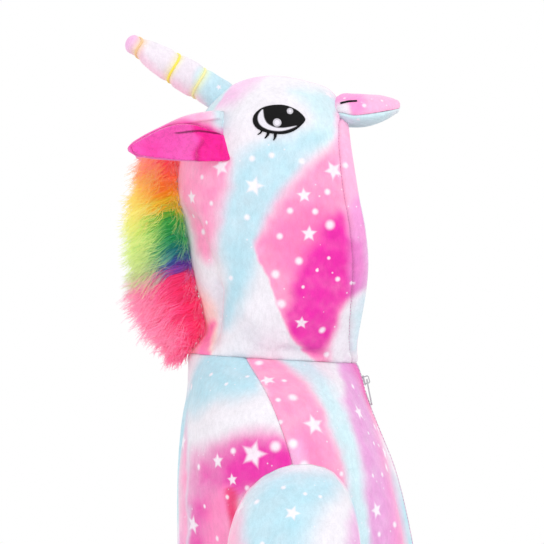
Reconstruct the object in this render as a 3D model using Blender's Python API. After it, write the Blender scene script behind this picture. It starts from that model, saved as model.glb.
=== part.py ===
"""Child's unicorn onesie in printed flannel fleece, worn by nobody and keeping its worn form.

The garment is hollow: two fronts and two backs cut from shoulder to ankle, two dropped sleeves,
a two-panel hood with a stuffed horn, muzzle and ears, embroidered eyes, a fur mane on a backing
strip, and a zip at the centre front. Sizes are in millimetres and turned to metres on the way
into each mesh. The front faces -Y, +Z is up, the wearer's right is -X, and the origin is the
middle of the line between the shoulders.
"""
import bpy
import bmesh
import numpy as np
from mathutils.bvhtree import BVHTree

MM = 0.001
CLOTH = 3.0            # thickness of the fleece wall
GAP = 0.3              # distance between sewn pieces
STEP = 1e-3            # step of the surface slopes, in surface units

RIGHT, LEFT = -1, 1


def table(columns, *rows):
    """A table with named columns, one row for each section."""
    return dict(zip(columns.split(), np.array(rows, float).T))


def smooth(rows, key, name, at):
    """Column `name` of a table as a smooth curve of its column `key`."""
    knots, values = rows[key], rows[name]
    if knots[0] > knots[-1]:
        knots, values = knots[::-1], values[::-1]
    slopes = np.gradient(values, knots)
    at = np.asarray(at, float)
    i = np.clip(np.searchsorted(knots, at) - 1, 0, len(knots) - 2)
    span = knots[i + 1] - knots[i]
    t = (at - knots[i]) / span
    rise = values[i + 1] - values[i]
    bend_a = slopes[i] * span - rise
    bend_b = rise - slopes[i + 1] * span
    return values[i] + t * rise + t * (1 - t) * (bend_a * (1 - t) + bend_b * t)


# ---------------------------------------------------------------- body sections
# Horizontal sections of the right half: an ellipse about `centre` that the centre seam cuts off
# above the crotch, and a whole leg below it.
BODY = table("z      outer centre front  back  tilt  seam",
             (12,    68,   0,    -62,   107,  5,    49),
             (2,     84,   0,    -65,   107,  4,    42),
             (-5,    100,  0,    -67,   107,  3,    37),
             (-22,   125,  0,    -71,   108,  2,    27),
             (-50,   145,  0,    -81,   113,  1,    15),
             (-93,   152,  0,    -98,   117,  0,    2),
             (-146,  145,  0,    -112,  118,  0,    0),
             (-203,  134,  0,    -122,  117,  0,    0),
             (-260,  138,  6,    -127,  115,  0,    0),
             (-330,  147,  20,   -128,  117,  0,    0),
             (-400,  156,  42,   -124,  120,  0,    0),
             (-450,  159,  58,   -118,  118,  0,    0),
             (-490,  160,  71,   -112,  112,  0,    0),
             (-520,  160,  80,   -106,  106,  0,    0),
             (-560,  158,  82.5, -98,   99,   0,    0),
             (-640,  151,  85.5, -83,   86,   0,    2),
             (-720,  147,  88,   -71,   75,   0,    4),
             (-800,  150,  92,   -65,   69,   0,    5),
             (-838,  154,  94.5, -63,   69,   0,    5))
NECK_Z = 12
HEM_Z = -838
CROTCH_Z = -520
ZIP_END_Z = -470
ZIP_HALF = 5.0

# The armhole is an oval in the side view.
ARM_Y, ARM_Z = 0.0, -148.0
ARM_HALF_WIDTH, ARM_HALF_HEIGHT = 57.0, 55.0

# Folds: troughs (-) and ridges (+) along a line, seen from one side; each fades at its ends.
FOLD_COLUMNS = "across_a z_a across_b z_b half_width depth"
BACK_FOLDS = table(FOLD_COLUMNS,
                   (26,  -24,  30,  -330, 9,   -6),
                   (44,  -50,  47,  -300, 11,  3),
                   (88,  -120, 60,  -340, 15,  -5),
                   (20,  -455, 110, -400, 16,  -6),
                   (25,  -500, 120, -470, 14,  5),
                   (60,  -690, 120, -668, 12,  -5),
                   (56,  -778, 132, -790, 11,  -6),
                   (58,  -758, 134, -768, 10,  4))
FRONT_FOLDS = table(FOLD_COLUMNS,
                    (40,  -60,  46,  -300, 12,  -4),
                    (74,  -90,  64,  -330, 14,  4),
                    (104, -190, 84,  -420, 14,  -5),
                    (14,  -500, 100, -430, 14,  -6),
                    (26,  -540, 120, -490, 13,  5),
                    (60,  -640, 130, -655, 13,  -6),
                    (60,  -622, 128, -632, 11,  4),
                    (60,  -785, 136, -772, 11,  -6),
                    (60,  -806, 138, -796, 10,  4))
SIDE_FOLDS = table(FOLD_COLUMNS,
                   (-52, -222, 10,  -330, 13,  -5),
                   (48,  -226, 20,  -360, 13,  -5),
                   (-40, -430, 30,  -410, 15,  4))


def along_fold(fold, across, z):
    """How strongly each point feels a fold: 1 on its line, fading to 0 beside and past it."""
    ax, az, bx, bz, half_width = fold
    run = np.array((bx - ax, bz - az))
    length = np.hypot(*run)
    t = ((across - ax) * run[0] + (z - az) * run[1]) / length ** 2
    aside = ((across - ax) * run[1] - (z - az) * run[0]) / length
    ends = np.clip(t / 0.25, 0, 1) * np.clip((1 - t) / 0.25, 0, 1)
    return np.exp(-(aside / half_width) ** 2) * ends ** 2 * (3 - 2 * ends)


def relief(folds, across, z):
    """Height of all the folds of one view at each point."""
    total = np.zeros(np.shape(z))
    for *fold, depth in zip(*folds.values()):
        total = total + depth * along_fold(fold, across, z)
    return total


def body_shape(z):
    """Centre, half width, middle and half depth of the sections at height z."""
    outer, centre, front, back = (smooth(BODY, "z", name, z)
                                  for name in ("outer", "centre", "front", "back"))
    return centre, outer - centre, (front + back) / 2, (back - front) / 2


def body_plain(angle, z):
    """Left half of the body: angle 0 at the side, +90 degrees in front, -90 at the back."""
    centre, half_width, middle, half_depth = body_shape(z)
    x = centre + half_width * np.cos(angle)
    y = middle - half_depth * np.sin(angle)
    lift = smooth(BODY, "z", "tilt", z) * (y - middle) / half_depth
    return np.stack((x, y, z + lift), -1)


def slope_normal(surface, u, v, du, dv):
    """Unit normals of a surface, from its slopes along u and v."""
    along_u = surface(u + du, v) - surface(u - du, v)
    along_v = surface(u, v + dv) - surface(u, v - dv)
    normal = np.cross(along_v, along_u)
    return normal / np.linalg.norm(normal, axis=-1, keepdims=True)


def body_surface(angle, z):
    """The body with its folds."""
    point = body_plain(angle, z)
    x, y, height = point[..., 0], point[..., 1], point[..., 2]
    facing = -np.sin(angle)
    folds = (relief(BACK_FOLDS, x, height) * np.clip(facing * 1.5, 0, 1)
             + relief(FRONT_FOLDS, x, height) * np.clip(-facing * 1.5, 0, 1)
             + relief(SIDE_FOLDS, y, height) * np.clip(np.cos(angle) * 1.5, 0, 1))
    return point + folds[..., None] * slope_normal(body_plain, angle, z, STEP, 0.1)


def body_normal(angle, z):
    return slope_normal(body_surface, angle, z, STEP, 0.1)


def angle_at_y(y, z):
    """Angle on the outer side where the section at height z has this y."""
    _, _, middle, half_depth = body_shape(z)
    return np.arcsin(np.clip((middle - y) / half_depth, -1, 1))


def angle_at_x(x, z):
    """Angle in front where the section at height z comes to this x, or the inseam's angle."""
    centre, half_width, _, _ = body_shape(z)
    inseam = np.pi - GAP / 2 / half_width
    return np.minimum(np.arccos(np.clip((x - centre) / half_width, -1, 1)), inseam)


def in_neck_plane(out):
    """Turns the ways out along the neck seam into the seam's own tilted plane."""
    rise = BODY["tilt"][0] / ((BODY["back"][0] - BODY["front"][0]) / 2)
    flat = np.stack((out[..., 0], out[..., 1], out[..., 1] * rise), -1)
    return flat / np.linalg.norm(flat, axis=-1, keepdims=True)


# ---------------------------------------------------------------- hood sections
# Rows run from the front edge over the side to the centre seam; `wide` is their half width and
# `widest` the place of it, as a share of the row's depth measured from the centre seam.
HOOD = table("row  front_x front_y front_z back_y back_z wide widest",
             (0,    5.3,   -61.7,  7,      107,   17,    68,  0.5),
             (1,    27,    -62,    27,     93,    37,    78,  0.5),
             (2,    50,    -66,    52,     93,    61,    88,  0.5),
             (3,    67,    -70,    78,     101,   92,    95,  0.5),
             (4,    78,    -72,    108,    107,   125,   99,  0.5),
             (5,    82,    -69,    141,    116,   165,   101, 0.5),
             (6,    79,    -63,    172,    116,   210,   99,  0.5),
             (7,    70,    -59,    198,    98,    247,   93,  0.5),
             (8,    56,    -56,    220,    67,    282,   81,  0.5),
             (9,    39,    -54,    237,    28,    294,   63,  0.5),
             (10,   23,    -53,    246,    -15,   288,   41,  0.5),
             (11,   9,     -52.5,  250.5,  -40,   275,   19,  0.5),
             (11.6, 0.15,  -52.5,  252,    -52,   253,   2,   0.5))
HOOD_TOP = 11.6
HEM_WIDTH = 14.0       # turned hem round the face
HEM_RISE = 0.8

HOOD_FOLDS = table(FOLD_COLUMNS,
                   (118, 172,  74,  84,   10,  -7),
                   (76,  96,   86,  14,   9,   -7),
                   (100, 100,  60,  150,  14,  3),
                   (22,  22,   -40, 14,   5,   -4),
                   (60,  70,   20,  30,   12,  3),
                   (-48, 60,   -20, 150,  13,  -3),
                   (-30, 40,   10,  110,  14,  3),
                   (40,  60,   30,  180,  15,  -3))


def hood_plain(u, row):
    """Left hood panel: u 0 on the front edge, 1 on the centre seam."""
    front_x, front_y, front_z, back_y, back_z, wide, widest = (
        smooth(HOOD, "row", name, row) for name in list(HOOD)[1:])
    depth = np.hypot(front_y - back_y, front_z - back_z)
    rear = widest * depth
    turn = np.arccos(np.clip(front_x / wide, 0, 0.995))
    fore = (depth - rear) / np.sin(turn)
    fore_length = np.hypot(depth - rear, wide - front_x)
    rear_length = np.pi / 2 * np.sqrt((rear ** 2 + wide ** 2) / 2)
    share = fore_length / (fore_length + rear_length)
    front_angle = turn * np.clip(1 - u / share, 0, None)
    back_angle = np.pi / 2 * np.minimum(1 - (u - share) / (1 - share), 1)
    in_front = u < share
    x = wide * np.where(in_front, np.cos(front_angle), np.sin(back_angle))
    run = np.where(in_front, rear + fore * np.sin(front_angle), rear * (1 - np.cos(back_angle)))
    y = back_y + (front_y - back_y) * run / depth
    z = back_z + (front_z - back_z) * run / depth
    return np.stack((x, y, z), -1)


def hood_surface(u, row):
    """The hood panel with its folds."""
    point = hood_plain(u, row)
    fade = np.clip((1 - u) / 0.12, 0, 1) * np.clip(u / 0.08, 0, 1)
    folds = relief(HOOD_FOLDS, point[..., 1], point[..., 2]) * fade
    return point + folds[..., None] * hood_plain_normal(u, row)


def hood_plain_normal(u, row):
    row = np.minimum(row, HOOD_TOP - 0.25)
    return -slope_normal(hood_plain, np.clip(u, 0.002, 0.998), row, STEP, 0.01)


def hood_normal(u, row):
    row = np.minimum(row, HOOD_TOP - 0.25)
    return -slope_normal(hood_surface, np.clip(u, 0.002, 0.998), row, STEP, 0.01)


# ---------------------------------------------------------------- sleeve sections
SLEEVE = table("ring outer_x outer_z inner_x inner_z half_width shift_y",
               (0,   152,    -93,    134,    -203,   58.5,      0),
               (1,   171,    -101,   139,    -208,   62,        1),
               (2,   191,    -119,   144,    -216,   64,        2),
               (3,   207,    -147,   149,    -230,   64,        2),
               (4,   217,    -182,   155,    -249,   62,        1),
               (5,   226,    -225,   162,    -275,   58,        -2),
               (6,   234,    -275,   170,    -309,   54,        -6),
               (7,   243,    -330,   179,    -352,   49,        -12),
               (8,   252,    -382,   188,    -398,   45,        -18),
               (9,   256,    -406,   192,    -420,   44,        -20))
SLEEVE_FOLDS = table("angle ring reach_angle reach_ring depth",
                     (0.2,   5.2,  1.1,       0.35,     -5),
                     (-0.2,  6.1,  1.0,       0.35,     -5),
                     (0.4,   5.7,  1.2,       0.35,     3),
                     (3.3,   5.6,  0.9,       0.4,      -5),
                     (3.0,   6.6,  1.0,       0.4,      -4),
                     (1.5,   4.2,  0.5,       1.1,      -3),
                     (-1.6,  3.4,  0.6,       1.0,      3),
                     (2.4,   7.6,  1.1,       0.35,     -4),
                     (-0.6,  8.0,  1.1,       0.35,     -4))
SLEEVE_SEAT = 0.8      # from the body's smooth surface, so that the facets stay clear


def on_body(y, z):
    """The sleeve seam's x at y and z, out from the body along its slope."""
    centre, half, middle, half_depth = body_shape(z)
    beside = (y - middle) / half_depth
    across = np.sqrt(np.clip(1 - beside ** 2, 0.01, 1))
    lean = np.hypot(across / half, beside / half_depth) / (across / half)
    return centre + half * across + SLEEVE_SEAT * lean


def sleeve_plain(angle, ring):
    """Left sleeve: angle 0 in front, +90 degrees on the outer side."""
    outer_x, outer_z, inner_x, inner_z, half_width, shift = (
        smooth(SLEEVE, "ring", name, ring) for name in list(SLEEVE)[1:])
    x = (outer_x + inner_x) / 2 + (outer_x - inner_x) / 2 * np.sin(angle)
    z = (outer_z + inner_z) / 2 + (outer_z - inner_z) / 2 * np.sin(angle)
    y = shift - half_width * np.cos(angle)
    near = np.clip(1 - ring / 2.2, 0, 1) ** 2
    return np.stack((x + near * (on_body(y, z) - x), y, z), -1)


def sleeve_surface(angle, ring):
    """The sleeve with its folds."""
    point = sleeve_plain(angle, ring)
    height = np.zeros(np.shape(point[..., 0]))
    for at_angle, at_ring, reach_angle, reach_ring, depth in zip(*SLEEVE_FOLDS.values()):
        turned = np.angle(np.exp(1j * (angle - at_angle)))
        height = height + depth * np.exp(-(turned / reach_angle) ** 2
                                         - ((ring - at_ring) / reach_ring) ** 2)
    return point + height[..., None] * slope_normal(sleeve_plain, angle, ring, STEP, 0.01)


# ---------------------------------------------------------------- meshes
def material(name, colour, roughness, metallic=0.0):
    """A plain Principled finish."""
    made = bpy.data.materials.new(name)
    made.use_nodes = True
    shader = made.node_tree.nodes["Principled BSDF"]
    shader.inputs["Base Color"].default_value = (*colour, 1.0)
    shader.inputs["Roughness"].default_value = roughness
    shader.inputs["Metallic"].default_value = metallic
    return made


def mesh_object(name, points, faces, finish):
    """One named object from points in millimetres and faces."""
    mesh = bpy.data.meshes.new(name)
    mesh.from_pydata([tuple(p) for p in np.asarray(points, float) * MM], [], faces)
    shape = bmesh.new()
    shape.from_mesh(mesh)
    bmesh.ops.remove_doubles(shape, verts=shape.verts, dist=1e-6)
    bmesh.ops.triangulate(shape, faces=shape.faces)
    bmesh.ops.recalc_face_normals(shape, faces=shape.faces)
    shape.to_mesh(mesh)
    shape.free()
    mesh.shade_smooth()
    mesh.set_sharp_from_angle(angle=np.radians(50))
    mesh.materials.append(finish)
    made = bpy.data.objects.new(name, mesh)
    bpy.context.scene.collection.objects.link(made)
    return made


def grid_faces(rows, columns, start=0, ring=False):
    """Quads between neighbouring rows of a grid of points."""
    last = columns if ring else columns - 1
    return [(start + r * columns + c, start + r * columns + (c + 1) % columns,
             start + (r + 1) * columns + (c + 1) % columns, start + (r + 1) * columns + c)
            for r in range(rows - 1) for c in range(last)]


def wall(name, outer, inner, finish, ring=False):
    """A closed wall between an outer and an inner grid of points, tube-shaped if `ring`."""
    rows, columns = outer.shape[:2]
    count = rows * columns
    faces = grid_faces(rows, columns, 0, ring)
    faces += [face[::-1] for face in grid_faces(rows, columns, count, ring)]
    rim = [[(0, c) for c in range(columns)], [(rows - 1, c) for c in range(columns)]]
    if ring:
        rim = [line + line[:1] for line in rim]
    else:
        rim += [[(r, 0) for r in range(rows)], [(r, columns - 1) for r in range(rows)]]
    for line in rim:
        index = [r * columns + c for r, c in line]
        faces += [(a, b, b + count, a + count) for a, b in zip(index, index[1:])]
    points = np.concatenate((outer.reshape(-1, 3), inner.reshape(-1, 3)))
    return mesh_object(name, points, faces, finish)


def mirrored(points, side):
    """Points of the left half, turned over for the right half."""
    return points * np.array((side, 1, 1))


SIDES = (("right", RIGHT), ("left", LEFT))

for old in list(bpy.data.objects):
    bpy.data.objects.remove(old, do_unlink=True)

PRINT_PINK = material("print_pink", (0.86, 0.20, 0.45), 0.9)
PRINT_BLUE = material("print_blue", (0.62, 0.84, 0.93), 0.9)
PRINT_WHITE = material("print_white", (0.90, 0.84, 0.92), 0.9)
PLUSH = material("plush_pink", (0.80, 0.06, 0.36), 0.95)
FUR = material("rainbow_fur", (0.90, 0.45, 0.25), 0.9)
STITCH = material("black_stitching", (0.02, 0.02, 0.02), 0.6)
TAPE = material("zip_tape", (0.80, 0.72, 0.80), 0.8)
METAL = material("zip_metal", (0.72, 0.72, 0.74), 0.35, 1.0)


# ---------------------------------------------------------------- fronts and backs
BODY_COLUMNS = 9
ARM_ROWS = 8
BODY_ROWS_ABOVE = (NECK_Z, 3, -8, -22, -42, -66)
BODY_ROWS_BELOW = (-232, -266, -300, -340, -380, -420, -455, -488, CROTCH_Z,
                   -552, -592, -628, -655, -690, -735, -765, -792, -815, HEM_Z)


def body_rows():
    """Heights of the panels' rows, close together where the armhole turns."""
    turn = np.linspace(0, np.pi, ARM_ROWS + 1)
    arm_rows = ARM_Z + ARM_HALF_HEIGHT * np.cos(turn)
    return np.concatenate((BODY_ROWS_ABOVE, arm_rows, BODY_ROWS_BELOW))


def side_edge(z, facing):
    """Angle of a panel's outer edge: the shoulder and side seam, or the armhole."""
    seam = angle_at_y(smooth(BODY, "z", "seam", z), z)
    inside = 1 - ((z - ARM_Z) / ARM_HALF_HEIGHT) ** 2
    reach = ARM_HALF_WIDTH * np.sqrt(np.clip(inside, 0, 1))
    armhole = angle_at_y(ARM_Y - facing * reach, z)
    parted = facing * GAP / 2 / 140
    edge = np.where(inside > 1e-6, facing * np.maximum(facing * seam, facing * armhole), seam)
    return edge + parted


def body_panel(name, side, facing, finish):
    """A front (facing +1) or back (facing -1), from the neck seam to the ankle hem."""
    z = body_rows()
    edge_x = np.full(z.shape, GAP / 2)
    if facing > 0:
        edge_x = np.where(z > ZIP_END_Z, ZIP_HALF + GAP, edge_x)
    middle_edge = facing * angle_at_x(edge_x, z)
    across = np.linspace(0, 1, BODY_COLUMNS)
    outer_edge = side_edge(z, facing)
    angle = outer_edge[:, None] + (middle_edge - outer_edge)[:, None] * across
    height = np.repeat(z[:, None], BODY_COLUMNS, 1)
    outer = body_surface(angle, height)
    out = body_normal(angle, height)
    out[0] = in_neck_plane(out[0])
    inner = outer - CLOTH * out
    return wall(name, mirrored(outer, side), mirrored(inner, side), finish)


for word, side in SIDES:
    body_panel("front_" + word, side, 1, PRINT_PINK)
    body_panel("back_" + word, side, -1, PRINT_WHITE)


# ---------------------------------------------------------------- sleeves
SLEEVE_SIDES = 18
SLEEVE_RINGS = np.array((0, 0.5, 1, 1.6, 2.2, 3, 3.7, 4.5, 5.2, 5.7, 6.1, 6.6, 7.2, 7.8, 8.4, 9))
for word, side in SIDES:
    turn = np.linspace(0, 2 * np.pi, SLEEVE_SIDES, endpoint=False)
    angle, ring = np.meshgrid(turn, SLEEVE_RINGS)
    outer = sleeve_surface(angle, ring)
    inner = outer - CLOTH * slope_normal(sleeve_surface, angle, ring, STEP, 0.01)
    inner[0, :, 0] = on_body(inner[0, :, 1], inner[0, :, 2])
    wall("sleeve_" + word, mirrored(outer, side), mirrored(inner, side), PRINT_BLUE, ring=True)


# ---------------------------------------------------------------- hood
HOOD_COLUMNS = 12
HOOD_ROWS = np.array((0, 0.3, 0.7, 1.2, 1.8, 2.4, 3, 3.7, 4.4, 5.1, 5.8, 6.5, 7.2, 7.9, 8.6,
                      9.3, 10, 10.7, HOOD_TOP))


def hood_grid():
    """The hood panel's places: two columns for the hem and the rest evenly spread."""
    row = np.repeat(HOOD_ROWS[:, None], HOOD_COLUMNS, 1)
    ends = hood_plain(np.array((0.0, 0.1)), HOOD_ROWS[:, None])
    per_u = np.linalg.norm(ends[:, 1] - ends[:, 0], axis=-1) / 0.1
    hem = np.minimum(HEM_WIDTH / per_u, 0.12)[:, None]
    edge = np.minimum((HEM_WIDTH + 1) / per_u, 0.13)[:, None]
    rest = edge + (1 - edge) * np.linspace(0, 1, HOOD_COLUMNS - 2)
    return np.concatenate((0 * hem, hem, rest), 1), row


hood_u, hood_row = hood_grid()
hood_outer = hood_surface(hood_u, hood_row)
hood_out = hood_normal(hood_u, hood_row)
hood_out[:, -1, 0] = 0
hood_out[0] = in_neck_plane(hood_out[0])
hood_inner = hood_outer - CLOTH * hood_out
hood_outer[:, :2] += HEM_RISE * hood_out[:, :2]
for grid in (hood_outer, hood_inner):
    grid[..., 2] += GAP * np.clip(1 - hood_row, 0, 1)
    grid[:, -1, 0] = GAP / 2
    grid[..., 0] = np.maximum(grid[..., 0], GAP / 2)
    grid[-1] = grid[-1, -1]
for word, side in SIDES:
    wall("hood_" + word, mirrored(hood_outer, side), mirrored(hood_inner, side), PRINT_PINK)


def hood_blocker():
    """A filled copy of the hood, a gap larger, that trims what is sewn onto the hood."""
    grown = hood_outer + 2 * GAP * hood_out
    grown[:, -1, 0] = 0
    grown[-1] = grown[-1, -1]
    half = grown.reshape(-1, 3)
    rows, columns = grown.shape[:2]
    faces = grid_faces(rows, columns)
    other = [tuple(i + len(half) for i in face[::-1]) for face in faces]
    edge = [r * columns for r in range(rows)]
    cap = [(a, b, b + len(half), a + len(half)) for a, b in zip(edge, edge[1:])]
    neck = [(c, c + 1, c + 1 + len(half), c + len(half)) for c in range(columns - 1)]
    points = np.concatenate((half, mirrored(half, RIGHT)))
    made = mesh_object("hood_blocker", points, faces + other + cap + neck, PRINT_PINK)
    made.hide_render = True
    made.display_type = "WIRE"
    return made


BLOCKER = hood_blocker()


def trim(made):
    """Cut away what would lie inside the hood."""
    cut = made.modifiers.new("seat_on_hood", "BOOLEAN")
    cut.operation = "DIFFERENCE"
    cut.object = BLOCKER
    return made


# ---------------------------------------------------------------- horn
HORN_BASE = np.array((0, 71.0, 272.0))
HORN_TIP = np.array((0, 168.0, 330.0))
HORN_BASE_RADIUS, HORN_TIP_RADIUS = 15.5, 9.0
HORN_PITCH = 34.0
HORN_GROOVE = 2.2
HORN_SIDES, HORN_RINGS = 16, 28


def horn():
    """A stuffed tapering tube drawn in by a cord wound round it as a helix."""
    axis = HORN_TIP - HORN_BASE
    length = np.linalg.norm(axis)
    axis = axis / length
    beside = np.array((1.0, 0, 0))
    above = np.cross(axis, beside)
    along = np.linspace(-0.1, 1, HORN_RINGS)
    rings = []
    for t in along:
        turn = np.linspace(0, 2 * np.pi, HORN_SIDES, endpoint=False)
        radius = HORN_BASE_RADIUS + (HORN_TIP_RADIUS - HORN_BASE_RADIUS) * t
        phase = t * length / HORN_PITCH - turn / (2 * np.pi) + 0.45
        from_cord = np.abs((phase + 0.5) % 1 - 0.5) * HORN_PITCH
        radius = radius - HORN_GROOVE * np.exp(-(from_cord / 5) ** 2)
        round_end = np.sqrt(np.clip(1 - ((t - 0.93) / 0.075) ** 2, 0.12, 1)) if t > 0.93 else 1
        radius = radius * round_end
        centre = HORN_BASE + axis * t * length
        rings.append(centre + radius[:, None] * (np.cos(turn)[:, None] * beside
                                                 + np.sin(turn)[:, None] * above))
    points = np.concatenate(rings)
    faces = grid_faces(HORN_RINGS, HORN_SIDES, 0, True)
    faces.append(tuple(range(HORN_SIDES))[::-1])
    faces.append(tuple(range(len(points) - HORN_SIDES, len(points))))
    return trim(mesh_object("horn", points, faces, PRINT_WHITE))


horn()


# ---------------------------------------------------------------- ears
# Stations from the base, inside the hood's seam, to the tip.
EAR = table("along top_y top_z low_y low_z out cup",
            (0,    54,   240,  48,   216,  64,  2),
            (0.12, 72,   249,  66,   209,  76,  6),
            (0.3,  90,   252,  85,   207,  86,  9),
            (0.5,  110,  249,  105,  207,  94,  9),
            (0.7,  131,  239,  127,  208,  102, 6),
            (0.88, 150,  229,  147,  210,  109, 3),
            (0.97, 159,  223,  156,  212,  113, 1),
            (1,    162,  220,  160,  215,  115, 0))
EAR_ROWS = 9
EAR_ACROSS = np.array((0, 0.14, 0.3, 0.46, 0.62, 0.75, 0.79, 0.9, 1))
EAR_BACK, EAR_FRONT = 3.5, 1.5
EAR_PLUSH = 3.0
EAR_RIM, EAR_RIM_FROM = 5.0, 0.75
EAR_PLUSH_SPAN = (0.03, 0.7)
EAR_PLUSH_END = 0.95


def ear_surface(across, along):
    """Left ear: across 0 on the lower edge, 1 on the upper one."""
    top_y, top_z, low_y, low_z, out, cup = (smooth(EAR, "along", name, along)
                                            for name in list(EAR)[1:])
    hollow = cup * np.sin(np.pi * across)
    return np.stack((out - hollow + 0 * across, low_y + (top_y - low_y) * across,
                     low_z + (top_z - low_z) * across), -1)


def ear(word, side):
    """A printed back, thicker at its upper rim, and the plush front that lies in it."""
    along = np.linspace(0, 1, EAR_ROWS)[:, None]
    across, along = np.broadcast_arrays(EAR_ACROSS, along)
    middle = ear_surface(across, along)
    out = slope_normal(ear_surface, across, along, STEP, STEP)
    out *= np.sign(out[..., :1])
    rim = np.clip((across - EAR_RIM_FROM) / 0.04, 0, 1)[..., None]
    round_off = np.clip(0.45 + np.sin(np.pi * across)[..., None], 0, 1)
    front = middle + out * (EAR_FRONT + EAR_RIM * rim) * round_off
    back = middle - out * EAR_BACK * round_off
    trim(wall("ear_%s_back" % word, mirrored(front, side), mirrored(back, side), PRINT_BLUE))
    inset = EAR_PLUSH_SPAN[0] + (EAR_PLUSH_SPAN[1] - EAR_PLUSH_SPAN[0]) * across
    middle = ear_surface(inset, EAR_PLUSH_END * along)
    out = slope_normal(ear_surface, inset, EAR_PLUSH_END * along, STEP, STEP)
    out *= np.sign(out[..., :1])
    low = middle + out * (EAR_FRONT + 3 * GAP)
    high = low + out * EAR_PLUSH
    trim(wall("ear_%s_front" % word, mirrored(high, side), mirrored(low, side), PLUSH))


for word, side in SIDES:
    ear(word, side)


# ---------------------------------------------------------------- muzzle
# Stations from the brow seam to the tip, seen from the side.
MUZZLE = table("y     top    seam   bottom half_width",
               (-30,  262,   257,   252,   26),
               (-37,  269,   256.5, 247,   37),
               (-46,  275.5, 255.5, 244,   44),
               (-57,  276,   253,   243,   47),
               (-70,  275.5, 254,   243.5, 46),
               (-82,  275,   256,   246.5, 41),
               (-92,  273,   258,   251,   34),
               (-100, 270.5, 260,   256,   24),
               (-104, 268,   262,   259.5, 13),
               (-105, 266,   264,   262.5, 7))
MUZZLE_RINGS, MUZZLE_ARC = 13, 11
MUZZLE_SQUARE = 0.8    # below 1 squares the sections off


def muzzle_half(name, finish, upper):
    """The upper or under half of the stuffed muzzle, with its flat side on the seam."""
    rings = []
    spread = np.linspace(0, 1, MUZZLE_RINGS)
    places = -30 - 75 * (1 - (1 - spread) ** 1.7)
    for y in places:
        top, seam, bottom, half = (float(smooth(dict((k, v[::-1]) for k, v in MUZZLE.items()),
                                                "y", key, y)) for key in list(MUZZLE)[1:])
        turn = np.linspace(0, np.pi, MUZZLE_ARC)
        height = top - seam if upper else bottom - seam
        x = half * np.sign(np.cos(turn)) * np.abs(np.cos(turn)) ** MUZZLE_SQUARE
        z = seam + np.sign(height) * GAP / 2 + height * np.sin(turn) ** MUZZLE_SQUARE
        rings.append(np.stack((x, np.full(x.shape, y), z), -1))
    points = np.concatenate(rings)
    faces = grid_faces(MUZZLE_RINGS, MUZZLE_ARC, 0, True)
    faces.append(tuple(range(MUZZLE_ARC))[::-1])
    faces.append(tuple(range(len(points) - MUZZLE_ARC, len(points))))
    return trim(mesh_object(name, points, faces, finish))


muzzle_half("muzzle_top", PRINT_PINK, True)
muzzle_half("muzzle_under", PRINT_BLUE, False)


# ---------------------------------------------------------------- eyes
# Outline in the side view, from the front corner round over the top.
EYE_Y, EYE_Z = 17.0, 250.5
EYE = table("toward_front up",
            (28, 1), (20, 8), (9, 13.5), (-2, 14.5), (-14, 9), (-24, 1), (-22, -6),
            (-15, -11), (-4, -13.5), (9, -13.5), (19, -10), (25, -5))
EYE_RINGS = (0.3, 0.65, 1.0)
EYE_LIFT, EYE_RISE = 0.8, 1.1


def facets(name):
    """The facets of a finished piece, in millimetres, for placing what lies on it."""
    mesh = bpy.data.objects[name].data
    points = [tuple(vertex.co / MM) for vertex in mesh.vertices]
    return BVHTree.FromPolygons(points, [tuple(face.vertices) for face in mesh.polygons])


HOOD_TREE = facets("hood_left")


def on_hood(y, z, lift):
    """The place on the left side of the hood at y and z, moved out by `lift`."""
    place, normal, _, _ = HOOD_TREE.ray_cast((300, y, z), (-1, 0, 0))
    normal = normal if normal.x > 0 else -normal
    return place + normal * lift


def eye(word, side):
    """A thin stitched patch on the hood."""
    corners = list(zip(*EYE.values()))
    levels = {}
    for lift in (EYE_LIFT, EYE_LIFT + EYE_RISE):
        points = [on_hood(EYE_Y, EYE_Z, lift)]
        points += [on_hood(EYE_Y - share * ahead, EYE_Z + share * up, lift)
                   for share in EYE_RINGS for ahead, up in corners]
        levels[lift] = points
    count = len(corners)
    top = [(0, 1 + i, 1 + (i + 1) % count) for i in range(count)]
    top += grid_faces(len(EYE_RINGS), count, 1, True)
    total = 1 + count * len(EYE_RINGS)
    bottom = [tuple(i + total for i in face[::-1]) for face in top]
    rim = [total - count + i for i in range(count)]
    wall_faces = [(a, b, b + total, a + total) for a, b in zip(rim, rim[1:] + rim[:1])]
    points = [tuple(p) for level in levels.values() for p in level]
    mesh_object("eye_" + word, mirrored(np.array(points), side), top + bottom + wall_faces, STITCH)


for word, side in SIDES:
    eye(word, side)


# ---------------------------------------------------------------- mane
MANE_HALF = 11.0
MANE_THICK = 2.5
MANE_COLUMNS = 4
MANE_ROWS = 24
MANE_TOP_Z, MANE_END_Z = 232, 0
MANE = table("z    length start_dip end_dip",
             (232, 44,    16,       34),
             (205, 50,    16,       38),
             (183, 60,    14,       38),
             (160, 65,    12,       36),
             (138, 72,    10,       36),
             (115, 77,    8,        36),
             (93,  82,    8,        36),
             (70,  83,    8,        38),
             (50,  78,    10,       40),
             (35,  62,    12,       40),
             (20,  42,    14,       40),
             (0,   22,    16,       40))
MANE_SPREAD = 34.0     # degrees to each side
LOCK_RINGS = (0.1, 0.55, 1.0)
LOCK_SCALE = (0.72, 0.56, 0.18)


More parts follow.
